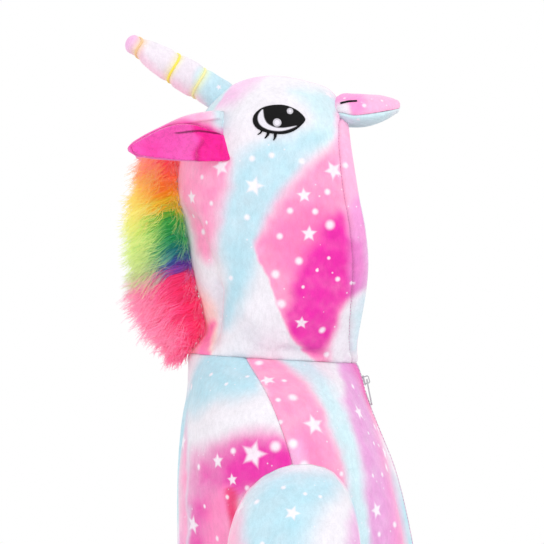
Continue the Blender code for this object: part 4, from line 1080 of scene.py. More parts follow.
def horn_radius(t, turn):
    """The horn's radius with the cord's groove, and how far each place is from the cord."""
    mm, from_right = t * HORN_LENGTH, np.angle(np.exp(1j * (turn - np.pi)))
    turns = np.interp(mm, WINDING["along"], WINDING["count"]) - cord_lag(from_right)
    from_cord = np.abs((turns + 0.5) % 1 - 0.5) * CORD_PITCH
    radius = smooth(HORN, "radius", mm)
    radius = radius - HORN_GROOVE * bell(from_cord, HORN_GROOVE_REACH)
    end = np.sqrt(np.clip(1 - ((t - HORN_END) / TIP_ROUND) ** 2, 0.002, 1))
    return radius * np.where(t > HORN_END, end, 1), from_cord


def horn_point(t, turn, radius):
    beside = np.array((1.0, 0, 0))
    return (HORN_BASE + HORN_AXIS * (t * HORN_LENGTH)[..., None]
            + radius[..., None] * (np.cos(turn)[..., None] * beside
                                   + np.sin(turn)[..., None] * np.cross(HORN_AXIS, beside)))


def tube_faces(rings, sides):
    """Faces of a tube of rings; the two points after the rings close its ends."""
    first, last = rings * sides, (rings - 1) * sides
    return (grid_faces(rings, sides, 0, True)
            + [(first, (c + 1) % sides, c) for c in range(sides)]
            + [(first + 1, last + c, last + (c + 1) % sides) for c in range(sides)])


def closed_tube(name, grid):
    ends = np.stack((grid[0].mean(0), grid[-1].mean(0)))
    return mesh_object(name, np.concatenate((grid.reshape(-1, 3), ends)),
                       tube_faces(*grid.shape[:2]))


HORN_DYE = (
    (LILAC, 0.85, (190, 350, 6), (150, 345, 5), (156, 310, 5), (185, 300, 6)),
    (ICE, 0.95, (92, 306, 5), (60, 300, 6), (60, 262, 6), (86, 262, 6), (98, 280, 5)),
    (BLUE, 0.5, (84, 300, 8), (60, 300, 6), (60, 262, 6), (84, 262, 8), (88, 278, 8)),
    (BLUSH, 0.45, (160, 318, 6), (130, 296, 6), (96, 272, 6), (96, 262, 6), (150, 290, 6)))


def horn():
    tip = HORN_END + 0.0733 * np.sin(np.linspace(0, np.pi / 2, 14))[1:]
    t = np.concatenate((np.linspace(-0.06, HORN_END, HORN_RINGS), tip))
    t, turn = np.meshgrid(t, around(HORN_SIDES), indexing="ij")
    radius, from_cord = horn_radius(t, turn)
    radius = radius + 0.25 * cloud(horn_point(t, turn, radius), 12, 3) * (t < HORN_END)
    made = closed_tube("horn_cloth", horn_point(t, turn, radius))
    # the yellow shows through the nap beside the cord
    beside_cord = np.append(from_cord.ravel(), (30, 30))
    colour = toward(tie_dye(places(made)[0], tone(229, 221, 230), HORN_DYE, 71),
                    0.5 * bell(beside_cord, 4.5), tone(242, 236, 150))
    dress_fleece(made, "horn", colour, RIGHT, ((76, 282, 2.6),), (), 72,
                 lambda centre, normal: centre[:, 2] > 0)


def cord_path():
    """The cord's path, wound from the base's left side to below the tip."""
    wound = np.linspace(-0.35, 2.3, 560)
    from_right = 2 * np.pi * (wound - np.round(wound))
    mm = np.interp(np.round(wound) + cord_lag(from_right), WINDING["count"], WINDING["along"])
    t, turn = mm / HORN_LENGTH, from_right + np.pi
    return horn_point(t, turn, horn_radius(t, turn)[0] + 0.2)


def swept(name, path, radius, sides=8):
    """A round cord along a path of points in millimetres."""
    forward = unit(np.gradient(path, axis=0))
    beside = unit(np.cross(forward, (0.0, 0.05, 1.0)))
    above = np.cross(beside, forward)
    turn = around(sides)[:, None]
    return closed_tube(name, path[:, None] + radius * (
        np.cos(turn) * beside[:, None] + np.sin(turn) * above[:, None]))


# The cord's yellow fades towards the base and warms near the tip: millimetres along, then tones
CORD_FADE = (29, 58, 80, 99)
CORD_TONES = (tone(240, 236, 168), tone(250, 232, 84), tone(248, 226, 110), tone(240, 200, 150))
# Soft satin cord: fine twisted yarns, a little brighter along its ridge
YELLOW_CORD, tree, shader = finish_material("yellow_satin_cord", 0.5)
yarn = grain(place_in(tree), 1800.0, 2.0)
wire(shader, Base_Color=scaled(dye_in(tree), mapped(yarn, 0.3, 0.7, 0.86, 1.08)),
     Roughness=mapped(yarn, 0.3, 0.7, 0.45, 0.65), Sheen_Weight=0.2,
     Normal=bump(yarn, 0.0003))

horn()
cord = swept("horn_winding", cord_path(), CORD_THICK)
along_horn = (places(cord)[0] - HORN_BASE) @ HORN_AXIS
write_dye(cord, blend_tones(along_horn, CORD_FADE, CORD_TONES))
dress(cord, YELLOW_CORD)


# ---- ears
# Each ear is a printed back with a rolled upper rim and a deep pink plush front, turned right
# side out, pleated once at the root and caught flat in the hood's side.
EAR = table("along top_y top_z low_y low_z out cup", (0, 54, 254, 48, 216, 64, 2),
    (0.12, 72, 256, 66, 209, 76, 6), (0.3, 90, 254, 85, 207, 86, 9),
    (0.5, 110, 249, 105, 207, 94, 9), (0.7, 131, 239, 127, 208, 102, 6),
    (0.88, 150, 229, 147, 210, 109, 3), (0.97, 159, 223, 156, 212, 113, 1),
    (1, 162, 220, 160, 215, 115, 0))
EAR_BACK, EAR_FRONT, EAR_PLUSH = 3.5, 1.5, 3.0
EAR_RIM, EAR_RIM_FROM = 5.0, 0.84
# How far up the ear the plush front reaches: the printed back rolls over it near the root
PLUSH_TOP = table("along share", (0, 0.44), (0.12, 0.47), (0.17, 0.54), (0.27, 0.65), (0.39, 0.79),
    (0.52, 0.89), (0.64, 0.975), (1, 0.99))
PLUSH_LOW, PLUSH_END = -0.05, 0.995
EAR_ROWS, EAR_COLUMNS = 101, 65
ROOT_Y, ROOT_SLANT, ROOT_REACH = 65.0, 0.26, 26
PLUSH_PINK, PLUSH_DEEP_AND_SHADED, PLUSH_HIGHLIGHT = tone(240, 84, 178), tone(246, 22, 146), tone(250, 120, 196)
EAR_DYE = (
    (PINK, 0.8, (170, 226, 4), (130, 252, 4), (96, 262, 6), (92, 240, 8), (170, 200, 4)),
    (BLUSH, 0.8, (104, 262, 8), (78, 262, 8), (74, 236, 8), (100, 236, 8)),
    (ICE, 0.9, (80, 262, 6), (50, 262, 6), (50, 226, 6), (74, 226, 8)),
    (PLUSH_PINK, 0.95, (170, 232, 2), (150, 235, 3), (126, 244, 4), (104, 245.5, 4), (88, 243, 4),
        (80, 238, 4), (66, 234, 4), (50, 220, 3), (50, 200, 3), (170, 200, 3)))
# The pleat runs down from the crease under the rim and folds back on itself; the crease itself
# is a groove where the plush turns under the rim, darkened with painted shade.
PLEAT = table("z y", (216, 97), (226, 92), (231, 93), (235, 98))
CREASE_Z, CREASE_TOP_Y = 234.8, 95
HOOD_TREES = {side: facet_tree(panels["hood", side]) for _, side in SIDES}


def ear_surface(across, along):
    """Left ear: across 0 on the lower edge, 1 on the upper one."""
    top_y, top_z, low_y, low_z, out, cup = smooth_all(EAR, along)
    hollow = cup * np.sin(np.pi * across)
    return np.stack((out - hollow + 0 * across, low_y + (top_y - low_y) * across,
                     low_z + (top_z - low_z) * across), -1)


def ear_out(across, along):
    out = slope_normal(ear_surface, across, along, STEP, STEP)
    return out * np.sign(out[..., :1])


# Short dense plush: a fine pile that shows lighter where it stands towards the light
EAR_PILE, tree, shader = finish_material("ear_plush", 0.95)
place = place_in(tree)
pile = grain(stretched(place, 1.0, 0.5, 1.0), 1100.0, 3.0, 0.7)
lying = grain(place, 190.0, 3.0, 0.6)
shade = plus(mapped(pile, 0.25, 0.75, 0.86, 1.12), mapped(lying, 0.32, 0.68, -0.09, 0.09))
wire(shader, Base_Color=scaled(dye_in(tree), shade),
     Roughness=mapped(pile, 0.3, 0.7, 0.75, 0.98),
     Normal=bump(maths(lying, "MULTIPLY_ADD", 0.6, pile), 0.0014, 0.6),
     Sheen_Weight=0.45, Sheen_Roughness=0.35, Specular_IOR_Level=0.1)


def on_hood(side, y, z, lift):
    """The place on one side of the hood at y and z, moved out by `lift`."""
    place, normal, _, _ = HOOD_TREES[side].ray_cast((300 * side, y, z), (-side, 0, 0))
    normal = normal if normal.x * side > 0 else -normal
    return np.array(place) + lift * np.array(normal)


def from_crease(y, z):
    """Height above the crease where the plush turns under the rim."""
    return z - CREASE_Z - 1.2 * np.cos((y - CREASE_TOP_Y) / 7.5)


def behind_pleat(y, z):
    """Way behind the pleat's edge, which curves from the crease down to the lower edge."""
    return y - smooth(PLEAT, "y", np.clip(z, 210, 235))


def rooted(face, side, over, depth):
    """Spreads the root onto the hood; past the slanting seam it stays inside the hood's wall."""
    for r, c in np.argwhere(face[..., 1] < ROOT_Y + ROOT_REACH):
        y, z = face[r, c, 1:]
        cover = ease((y - ROOT_Y - ROOT_SLANT * (min(z, 238) - 209.5) + 2) / 4)
        lying = on_hood(side, y, z, 0)[0] * side
        shown = max(face[r, c, 0], lying + over * ease((ROOT_Y + ROOT_REACH - y) / 10))
        face[r, c, 0] = lying - depth + (shown - lying + depth) * cover
    return face


def ear_back(word, side, across, along):
    middle, out = ear_surface(across, along), ear_out(across, along)
    rim = (ease((across - EAR_RIM_FROM + 0.03) / 0.09) * ease((0.62 - along) / 0.4))[..., None]
    round_off = part(0.45 + np.sin(np.pi * across)[..., None])
    roll = np.sin(np.pi * part((across - EAR_RIM_FROM) / (1 - EAR_RIM_FROM)))[..., None]
    front = middle + out * (EAR_FRONT + EAR_RIM * rim * (0.75 + 0.25 * roll)) * round_off
    front += out * 0.35 * cloud(middle, 11, 4)[..., None] * rim
    rooted(front, side, 0.9, 0.7)
    back = rooted((middle - out * EAR_BACK * round_off)[::2, ::2].copy(), side, -1.0, 1.8)
    printed = cloth_wall("ear_%s_printed" % word, front, back, side)
    dress_fleece(printed, "ear_%s_back" % word, tie_dye(places(printed)[0], WHITE, EAR_DYE, 81),
                 side, (), (), 82 + side, lambda centre, normal: normal[:, 0] * side > 0, 0.15)


def ear_front(word, side, across, along):
    reach = PLUSH_END * along
    span = PLUSH_LOW + (smooth(PLUSH_TOP, "share", reach) - PLUSH_LOW) * across
    middle, out = ear_surface(span, reach), ear_out(span, reach)
    y, z = middle[..., 1], middle[..., 2]
    behind = behind_pleat(y, z)
    pleat = ease((behind + 2.5) / 5) * np.exp(-np.maximum(behind, 0) / 10) * ease((234 - z) / 8)
    hollow = bell(behind, np.where(behind <= 0, 7.0, 1.8)) * ease((236 - z) / 6)
    soft = part(np.minimum(across + 0.02, 1.04 - across) / 0.06)
    ends = part((1 - along) / 0.05)
    height = (EAR_PLUSH * (0.25 + 0.75 * np.sqrt(np.minimum(soft, ends)))
              + 1.7 * pleat - 1.2 * hollow + 0.3 * cloud(middle, 9, 5)
              + 0.5 * bell(y - 133 + 0.2 * (z - 220), 5)
              - 1.3 * bell(from_crease(y, z), 1.5) * ease((126 - y) / 8))
    low = rooted(middle + out * (EAR_FRONT + 3 * SEAM_GAP), side, 1.1, 1.2)
    face = rooted(low + out * np.maximum(height, 0.6)[..., None], side, 1.9, 0.9)
    plush = cloth_wall("ear_%s_plush" % word, face, low[::2, ::2], side)
    y, z = places(plush)[0][:, 1:].T
    behind = behind_pleat(y, z)
    # painted shade: the plush turns a deeper pink in the cupped pocket between the root and the
    # pleat; it also deepens in a band lower down towards the tip
    deep_and_shaded = (0.85 * ease((6 - behind) / 8) * ease((y - 50) / 12)
            + 0.3 * ease((14 - np.abs(y - 140)) / 10) * ease((232 - z) / 14))
    colour = toward(PLUSH_PINK, part(deep_and_shaded), PLUSH_DEEP_AND_SHADED)
    # painted highlight: a paler band on the fold about 12 mm behind the pleat, where the plush
    # catches the light
    colour = toward(colour, 0.5 * bell(behind - 12, 8) * 0.4, PLUSH_HIGHLIGHT)
    # painted shade: darker in the pleat's recess and along the crease where the plush turns under
    # the rim
    shadow = (0.3 * bell(behind + 1, 2.6) * ease((232 - z) / 8)
              + 0.8 * bell(from_crease(y, z), 0.9) * ease((120 - y) / 6))
    write_dye(plush, colour * (1 - np.clip(shadow, 0, 0.9))[:, None], 0)
    dress(plush, EAR_PILE, "ear_%s_front" % word)


for word, side in SIDES:
    across, along = np.meshgrid(np.linspace(0, 1, EAR_COLUMNS), np.linspace(0, 1, EAR_ROWS))
    ear_back(word, side, across, along)
    ear_front(word, side, across, along)


# ---- muzzle
# A stuffed muzzle of two halves, pink above and ice blue under, joined by a seam round its
# edge and sewn to the brow; each nostril is a short bar of black satin stitch.
MUZZLE = table("y top seam bottom half_width", (-30, 262, 257, 252, 26),
    (-37, 269, 256.5, 247, 37), (-46, 275.5, 255.5, 244, 44), (-57, 276, 253, 243, 47),
    (-70, 275.5, 254, 243.5, 46), (-82, 275, 256, 246.5, 41), (-92, 273, 258, 251, 34),
    (-100, 270.5, 260, 256, 24), (-104, 268, 262, 259.5, 13), (-105, 266, 264, 262.5, 7))
MUZZLE_Y, MUZZLE_LONG, MUZZLE_SQUARE, MUZZLE_RINGS, MUZZLE_ARC = -30, 75, 0.8, 81, 73
MUZZLE_TOP_DYE = (
    (tone(242, 140, 204), 0.8, (-40, 284, 4), (-70, 284, 8), (-76, 262, 8), (-52, 250, 4),
        (-40, 256, 4)),
    (BLUSH, 0.9, (-72, 284, 6), (-112, 280, 4), (-112, 256, 4), (-74, 252, 6)),
    (WHITE, 0.9, (-40, 263, 3), (-52, 263, 3), (-54, 252, 3), (-40, 250, 3)))
MUZZLE_UNDER_DYE = (
    (ICE, 0.95, (-30, 262, 4), (-112, 270, 4), (-112, 240, 4), (-30, 236, 4)),
    (WHITE, 0.5, (-96, 262, 5), (-108, 264, 4), (-108, 254, 4), (-94, 252, 5)))


def muzzle_half(node_name, edge, base, patches, *dots):
    turn = np.linspace(0, np.pi, MUZZLE_ARC)
    rings = []
    for y in MUZZLE_Y - MUZZLE_LONG * (1 - (1 - np.linspace(0, 1, MUZZLE_RINGS)) ** 1.7):
        seam, half = smooth(MUZZLE, "seam", y), smooth(MUZZLE, "half_width", y)
        height = smooth(MUZZLE, edge, y) - seam
        x = half * np.sign(np.cos(turn)) * np.abs(np.cos(turn)) ** MUZZLE_SQUARE
        rise = height * np.sin(turn) ** MUZZLE_SQUARE
        round_in = 1 - 0.03 * bell(np.abs(rise), 1.4)
        z = seam + np.sign(height) * SEAM_GAP / 2 + rise
        rings.append(np.stack((x * round_in, np.full(x.shape, y), z), -1))
    grid = np.array(rings)
    out = grid - grid.mean(1, keepdims=True)
    out /= np.maximum(np.linalg.norm(out, axis=-1, keepdims=True), 1e-6)
    near_seam = np.exp(-np.abs(grid[..., 2] - grid[:, :1, 2]) / 5)
    grid = grid + out * (0.45 * cloud(grid, 9, 6) * near_seam
                         + 0.3 * cloud(grid, 22, 8))[..., None]
    made = closed_tube(node_name + "_cloth", grid)
    dress_fleece(made, node_name, tie_dye(places(made)[0], base, patches, 91), RIGHT, (), dots,
                 92, lambda centre, normal: centre[:, 2] > 0)
    return made


muzzle_top = muzzle_half("muzzle_top", "top", BLUSH, MUZZLE_TOP_DYE, (-68, 263, 2.2),
                         (-49, 270, 1.4), (-86, 268, 1.5))
muzzle_half("muzzle_under", "bottom", ICE, MUZZLE_UNDER_DYE, (-62, 249, 1.6))


# ---- eyes
# Each eye is a machine-embroidered patch in black satin stitch with white crescent and
# highlights, over a raised border, with three stitched lashes under its rear corner.
EYE_Y, EYE_Z, EYE_LIFT, EYE_RISE, EYE_FOOT = 16.5, 247.0, 0.9, 1.0, 0.2
# Outlines as (towards the front, up) from the eye's middle
EYE = ((26, 0.5), (21, 7), (15, 11), (6, 14.2), (-3, 14.6), (-12, 13.2), (-19, 10), (-24, 4.5),
    (-25.2, -1.5), (-22.4, -7.4), (-15, -11.8), (-4, -14), (6, -14), (15, -11), (22, -5.5))
CRESCENT = ((-15.5, 9.6), (-19.4, 4.6), (-19.8, -1.5), (-16.4, -6.8), (-8.6, -10.5), (1.2, -11.5),
    (9.8, -9.8), (17.2, -6.5), (9.8, -7.8), (2.6, -8.6), (-4.6, -7.6), (-10.9, -4.2), (-13.9, 1),
    (-14.8, 6.2))
HIGHLIGHTS = ((-1.5, -3.4, 3.9), (10.8, 8.0, 2.9))
LASHES = ((-16, -10, -20.5, -15, 1.8), (-10, -12, -13.5, -18.5, 3.4), (-3.5, -13, -5, -20.5, 3.8))
BLACK_THREAD, WHITE_THREAD = tone(10, 9, 12), tone(234, 230, 240)
EYE_RINGS = 46
# Satin stitch: close parallel threads that catch the light in lines
SATIN, tree, shader = finish_material("eye_stitching", 0.45)
stitch = node(tree, "UVMap", uv_map="stitch")[0]
threads = node(tree, "TexWave", bands_direction="Y", Vector=stitch, Scale=0.55, Distortion=0.6,
               Detail=1.0)["Fac"]
fuzz = grain(stitch, 1.6, 2.0)
shade = times(mapped(threads, 0.0, 1.0, 0.8, 1.15), mapped(fuzz, 0.3, 0.7, 0.92, 1.06))
wire(shader, Base_Color=scaled(dye_in(tree), shade),
     Normal=bump(threads, 0.0003, 0.5), Roughness=mapped(fuzz, 0.3, 0.7, 0.38, 0.55),
     Specular_IOR_Level=0.12)


def raised_patch(side, outline, centre, rise, shares):
    """Points, faces and stitch places of a domed patch lying on the hood."""
    stitches = [centre + share * (outline - centre) for share in shares]
    rises = [EYE_LIFT * 0.55 + rise * min(1, 0.25 + 2.2 * np.sqrt(max(0, 1 - share ** 2)))
             for share in shares]
    lifts = np.repeat((*rises, EYE_FOOT), len(outline))
    lifts = np.append(lifts, (EYE_LIFT * 0.55 + rise, EYE_FOOT))
    stitches = np.concatenate((*stitches, outline, (centre, centre)))
    points = [on_hood(side, EYE_Y - ahead, EYE_Z + up, lift)
              for (ahead, up), lift in zip(stitches, lifts)]
    return np.array(points), tube_faces(len(shares) + 1, len(outline)), stitches


def eye_colour(stitches):
    """Black with white crescent and discs, crisp at the stitch ends."""
    ahead, up = stitches.T
    rough = 0.25 * np.sin(stitches @ (7.0, 1.3)) + 0.2 * np.sin(stitches @ (2.1, 8.3))
    white = patch_cover(np.insert(rounded(CRESCENT, 5), 2, 0.6, 1), ahead + 0.3 * rough,
                        up + 0.3 * rough)
    for at_front, at_up, size in HIGHLIGHTS:
        away = np.hypot(ahead - at_front, up - at_up) + 0.4 * rough
        white = np.maximum(white, ease((size - away) / 0.6 + 0.5))
        white *= 1 - 0.45 * bell(away - size + 0.9, 0.45)
    return toward(BLACK_THREAD, white, WHITE_THREAD)


def lash(side, root_front, root_up, tip_front, tip_up, width):
    root, tip = np.array((root_front, root_up)), np.array((tip_front, tip_up))
    aside = np.array((-(tip - root)[1], (tip - root)[0])) / np.linalg.norm(tip - root)
    way = np.linspace(0, 1, 12)[:, None]
    half = (width / 2 * (1 - 0.75 * way) + 0.05) * aside
    line = root + way * (tip - root) + 0.8 * np.sin(np.pi * way) * aside
    return raised_patch(side, np.concatenate((line + half, (line - half)[::-1])), line[5], 0.8,
                        (0.35, 0.7, 0.9, 1.0))


def eye(word, side):
    shares = 1 - np.linspace(1, 0, EYE_RINGS) ** 1.25 * 0.985
    patches = [raised_patch(side, rounded(EYE, 15), np.zeros(2), EYE_RISE, shares)]
    patches += [lash(side, *row) for row in LASHES]
    points, faces, stitches = [], [], []
    for patch_points, patch_faces, patch_stitches in patches:
        faces += [tuple(len(points) + i for i in face) for face in patch_faces]
        points += list(patch_points)
        stitches += list(patch_stitches)
    stitches = np.array(stitches)
    colour = eye_colour(stitches)
    colour[len(patches[0][0]):] = BLACK_THREAD
    made = mesh_object("eye_%s_stitched" % word, points, faces, merged=False)
    write_dye(made, colour)
    store_map(made.data, "stitch", stitches[corners_of(made.data)[0]])
    dress(made, SATIN, "eye_" + word)


# The nostril bars lie on the muzzle's upper half, one on each side
NOSTRIL = table("y z", (-45, 265.0), (-52, 266.6), (-61, 267.2))
MUZZLE_TREE = facet_tree(muzzle_top)


def nostril(word, side):
    path = [hit for y in np.linspace(NOSTRIL["y"][0], NOSTRIL["y"][-1], 26) for hit in hits(
        [MUZZLE_TREE], [(120 * side, y, float(smooth(NOSTRIL, "z", y)))], (-side, 0, 0))]
    bar = swept("nostril_%s" % word, np.array(path), 1.25, 10)
    points, _ = places(bar)
    write_dye(bar, np.tile(BLACK_THREAD, (len(points), 1)))
    store_map(bar.data, "stitch", points[corners_of(bar.data)[0]][:, 2:0:-1])
    dress(bar, SATIN)


for made_for in (eye, nostril):
    for word, side in SIDES:
        made_for(word, side)


# ---- mane
# Long-pile rainbow faux fur on a narrow knitted backing, sewn down the centre-back seam; the
# pile falls back and down in wavy locks, dyed in bands from coral through green to hot pink.
MANE_HALF, MANE_THICK, MANE_SPREAD = 11.0, 2.5, 34.0
MANE_TOP_Z, MANE_END_Z = 232, 19
MANE = table("z length start_dip end_dip", (232, 44, 16, 34), (205, 47, 14, 32), (183, 51, 12, 34),
    (160, 57, 10, 34), (138, 64, 8, 36), (115, 68, 8, 37), (93, 71, 8, 38), (70, 67, 8, 40),
    (50, 54, 10, 44), (35, 38, 12, 50), (20, 23, 16, 58))
# Dye at the root and at the tip of the pile, up the backing
RAINBOW = table("z red green blue tip_red tip_green tip_blue", (-30, 255, 70, 140, 255, 146, 190),
    (50, 255, 58, 126, 255, 132, 182), (94, 255, 60, 128, 255, 136, 184),
    (102, 208, 62, 150, 238, 150, 184), (108, 132, 72, 178, 206, 212, 160),
    (115, 72, 92, 180, 212, 230, 150), (124, 36, 138, 146, 218, 240, 142),
    (138, 42, 172, 100, 224, 243, 138), (154, 74, 188, 78, 234, 246, 130),
    (162, 196, 206, 60, 242, 245, 124), (170, 255, 190, 40, 249, 240, 116),
    (180, 255, 170, 44, 255, 236, 100), (192, 255, 132, 70, 255, 222, 84),
    (204, 255, 104, 110, 255, 200, 84), (216, 255, 92, 122, 255, 150, 110),
    (236, 255, 92, 122, 255, 132, 140))
FUR_ROWS, FUR_COLUMNS, FUR_END_Z = 54, 12, 24
STRANDS, STRAND_POINTS = 20, 7
SEAT_TREES = list(HOOD_TREES.values()) + [facet_tree(panels["back", side]) for _, side in SIDES]


def seat(x, z):
    """The backing's outer face behind the hood and back: y at each x and z."""
    return max(hit.y for hit in hits(SEAT_TREES, [
        (x + beside, 300, z + near) for beside in (-0.7, 0.7) for near in (-3, 0, 3)],
        (0, -1, 0)))


def rainbow_at(z, share):
    """The pile's dye at a root height and a share of the way to the tip."""
    root, tip = (np.stack([np.interp(z, RAINBOW["z"], RAINBOW[end + key])
                           for key in ("red", "green", "blue")]) for end in ("", "tip_"))
    return tone(*(root + share * (tip - root))).T


def mane_backing():
    face = np.array([[(x, seat(x, z) + 0.75, z) for x in np.linspace(-MANE_HALF, MANE_HALF, 13)]
                     for z in np.linspace(MANE_TOP_Z, MANE_END_Z, 75)])
    made = cloth_wall("mane_backing", face + (0, MANE_THICK, 0), face[::2, ::2], 1)
    write_dye(made, rainbow_at(places(made)[0][:, 2], 0))
    return made


def fur_guides(random):
    """One guide line for each lock: rooted on the backing, falling back and down in waves."""
    lines, colours = [], []
    for r, c in np.ndindex(FUR_ROWS, FUR_COLUMNS):
        down = (r + random.uniform(0.1, 0.9)) / FUR_ROWS
        z = MANE_TOP_Z - 2 - (MANE_TOP_Z - FUR_END_Z) * down
        x = MANE_HALF * (2 * (c + random.uniform(0.2, 0.8)) / FUR_COLUMNS - 1)
        length, dip_a, dip_b = smooth_all(MANE, z)
        length *= random.uniform(0.72, 1.0)
        aside = MANE_SPREAD * x / MANE_HALF + random.uniform(-9, 9)
        root_y = seat(x, z) + MANE_THICK
        if c in (0, FUR_COLUMNS - 1) and r % 2:
            # short pile at the edges stands out sideways and hides the seam
            length = random.uniform(9, 17)
            x = np.sign(x) * (MANE_HALF - 0.4)
            aside, root_y = np.sign(x) * random.uniform(50, 80), root_y - 1.6
            dip_a, dip_b = 8, 70
        aside, dip_shift = np.radians(aside), random.uniform(-9, 9)
        wave, phase = random.uniform(1.8, 4.4), random.uniform(0, 2 * np.pi)
        share = np.linspace(0, 1, STRAND_POINTS)
        line = [np.array((x, root_y, z))]
        for before, now in zip(share, share[1:]):
            dip = np.radians(dip_a + dip_shift * now + (dip_b - dip_a) * now)
            line.append(line[-1] + length * (now - before) * np.array((
                np.sin(aside) * np.cos(dip), np.cos(aside) * np.cos(dip), -np.sin(dip))))
        line = np.array(line)
        line[:, 2] += wave * share * np.sin(phase + share * 11.0)
        line[:, 0] += wave * share * np.cos(phase + share * 9.0)
        lines.append(line)
        # neighbouring locks carry the band above or below now and then
        at_z = z + random.normal(0, 3.5)
        to_tip = ease((share - 0.3) / 0.6) * min(1, length / 40)
        colour = toward(rainbow_at(np.full(share.shape, at_z), to_tip),
                        0.16 * ease((share - 0.6) / 0.4), tone(255, 246, 240))
        colours.append(colour * random.uniform(0.88, 1.0))
    return lines, colours


# Acrylic pile: dyed strands, glossy along their length, that glow faintly in their own dye:
# painted light standing in for light through the strands and lifting the shade between them
MANE_FUR, tree, shader = finish_material("mane_fur", 0.55)
streak, dye = grain(place_in(tree), 420.0, 2.0), dye_in(tree)
# the emission is painted light: the strands glow faintly in their own dye
wire(shader, Base_Color=scaled(dye, mapped(streak, 0.3, 0.7, 0.9, 1.1)),
     Roughness=mapped(streak, 0.3, 0.7, 0.5, 0.72), Emission_Color=dye,
     Emission_Strength=0.22, Sheen_Weight=0.3, Sheen_Roughness=0.4, Specular_IOR_Level=0.3)

# Splits each guide into strands that spread towards their tips, and gives them a body
FUR_LOCKS, given, result = geometry_tree("Fur locks", Strands=STRANDS, Spread=0.004,
                                         Thickness=0.0006, Seed=3)
copies = node(FUR_LOCKS, "DuplicateElements", domain="SPLINE",
              Geometry=base_lines(FUR_LOCKS, given), Amount=given["Strands"])["Geometry"]
along = node(FUR_LOCKS, "SplineParameter")["Factor"]
chance = node(FUR_LOCKS, "RandomValue", data_type="FLOAT_VECTOR", _0=(-1, -1, -1),
              _1=(1, 1, 1), ID=node(FUR_LOCKS, "InputIndex")[0], Seed=given["Seed"])[0]
aside = node(FUR_LOCKS, "FieldOnDomain", data_type="FLOAT_VECTOR", domain="CURVE", Value=chance)[0]
open_out = maths(maths(along, "POWER", 1.2), "MULTIPLY_ADD", 1.6, 0.45)
offset = scaled(aside, times(open_out, given["Spread"]))
crimp = node(FUR_LOCKS, "TexNoise", noise_dimensions="3D", Scale=120.0, Detail=2.0)["Color"]
wander = node(FUR_LOCKS, "VectorMath", operation="SUBTRACT", _0=crimp, _1=(0.5, 0.5, 0.5))[0]
moved = node(FUR_LOCKS, "SetPosition", Geometry=copies, Offset=node(
    FUR_LOCKS, "VectorMath", operation="ADD", _0=offset,
    _1=scaled(wander, times(along, 0.02)))[0])[0]
sized = node(FUR_LOCKS, "SetCurveRadius", Curve=moved, Radius=1.0)[0]
thick = times(given["Thickness"], mapped(along, 0.35, 1.0, 1.0, 0.22))
ring = node(FUR_LOCKS, "CurvePrimitiveCircle", Resolution=3, Radius=1.0)[0]
body = node(FUR_LOCKS, "CurveToMesh", Curve=sized, Profile_Curve=ring, Scale=thick)
finish_tree(FUR_LOCKS, result, body[0], MANE_FUR)

backing = mane_backing()
guides, guide_colours = fur_guides(np.random.default_rng(12))
third = len(guides) // 3
for i, (name, seed) in enumerate((("upper", 3), ("middle", 8), ("lower", 5))):
    own = slice(i * third, (i + 1) * third)
    fur = grown("mane_fur_" + name, guides[own], FUR_LOCKS, guide_colours[own],
                Strands=STRANDS, Spread=0.0042, Thickness=0.00042, Seed=seed)
    fur.data.shade_smooth()
    dress(fur, None, "mane")
dress(backing, MANE_FUR, "mane")


# ---- zip
# A nylon coil zip on woven tape sewn between the fronts, with a plain metal slider resting
# closed below the neck and a pull tab that swings on the slider's bail.
TAPE_TONE, COIL_TONE = tone(226, 212, 228), tone(232, 226, 234)
TAPE, tree, shader = finish_material("zip_tape_weave", 0.8)
place = place_in(tree)
ribs = node(tree, "TexWave", bands_direction="Z", Vector=place, Scale=260.0, Distortion=1.2,
            Detail=2.0)["Fac"]
colour = mixed(ribs, (*(TAPE_TONE * 0.86), 1), (*TAPE_TONE, 1))
colour = mixed(mapped(grain(place, 700.0, 2.0), 0.4, 0.8, 0.0, 0.25), colour,
               (*(TAPE_TONE * 0.8), 1))
wire(shader, Base_Color=colour, Sheen_Weight=0.1, Normal=bump(ribs, 0.0002))

METAL, tree, shader = finish_material("zip_metal_cast", 0.3, 1.0)
place = place_in(tree)
brushed = grain(stretched(place, 1.0, 1.0, 0.2), 900.0, 3.0)
worn = mapped(grain(place, 260.0, 2.0), 0.3, 0.7)
wire(shader, Base_Color=mixed(worn, (0.46, 0.46, 0.49, 1), (0.55, 0.55, 0.58, 1)),
     Roughness=mapped(brushed, 0.3, 0.7, 0.22, 0.42))

for name, finish in (("zip_tape", TAPE), ("zip_slider", METAL), ("zip_pull", METAL)):
    carried = bpy.data.objects[name].data.materials
    carried.clear()
    carried.append(finish)

# Interlocked coil turns: rounded bars laid across the chain in turn left and right
COIL, given, result = geometry_tree("Zip coil", Pitch=0.0015, Reach=0.0017, Thickness=0.0005)
odd = maths(node(COIL, "InputIndex")[0], "MODULO", 2.0)
aside = times(maths(odd, "SUBTRACT", 0.5), 0.0012)
shifted = node(COIL, "SetPosition", Geometry=spaced(COIL, given),
               Offset=node(COIL, "CombineXYZ", X=aside)[0])[0]
bar = node(COIL, "MeshIcoSphere", Radius=1.0, Subdivisions=2)[0]
laid = node(COIL, "InstanceOnPoints", Points=shifted, Instance=bar, Scale=node(
    COIL, "CombineXYZ", X=given["Reach"], Y=given["Thickness"], Z=given["Thickness"])[0])[0]
finish_tree(COIL, result, laid, thread_material("zip_coil_nylon", COIL_TONE))


def laid_on(piece, x, heights):
    """A line of points down the front of a piece, 0.3 mm in front of it."""
    tree = [facet_tree(piece)]
    return np.array([(x, hit.y - 0.3, z) for z in heights
                     for hit in hits(tree, [(x, -300, z)], (0, 1, 0))])


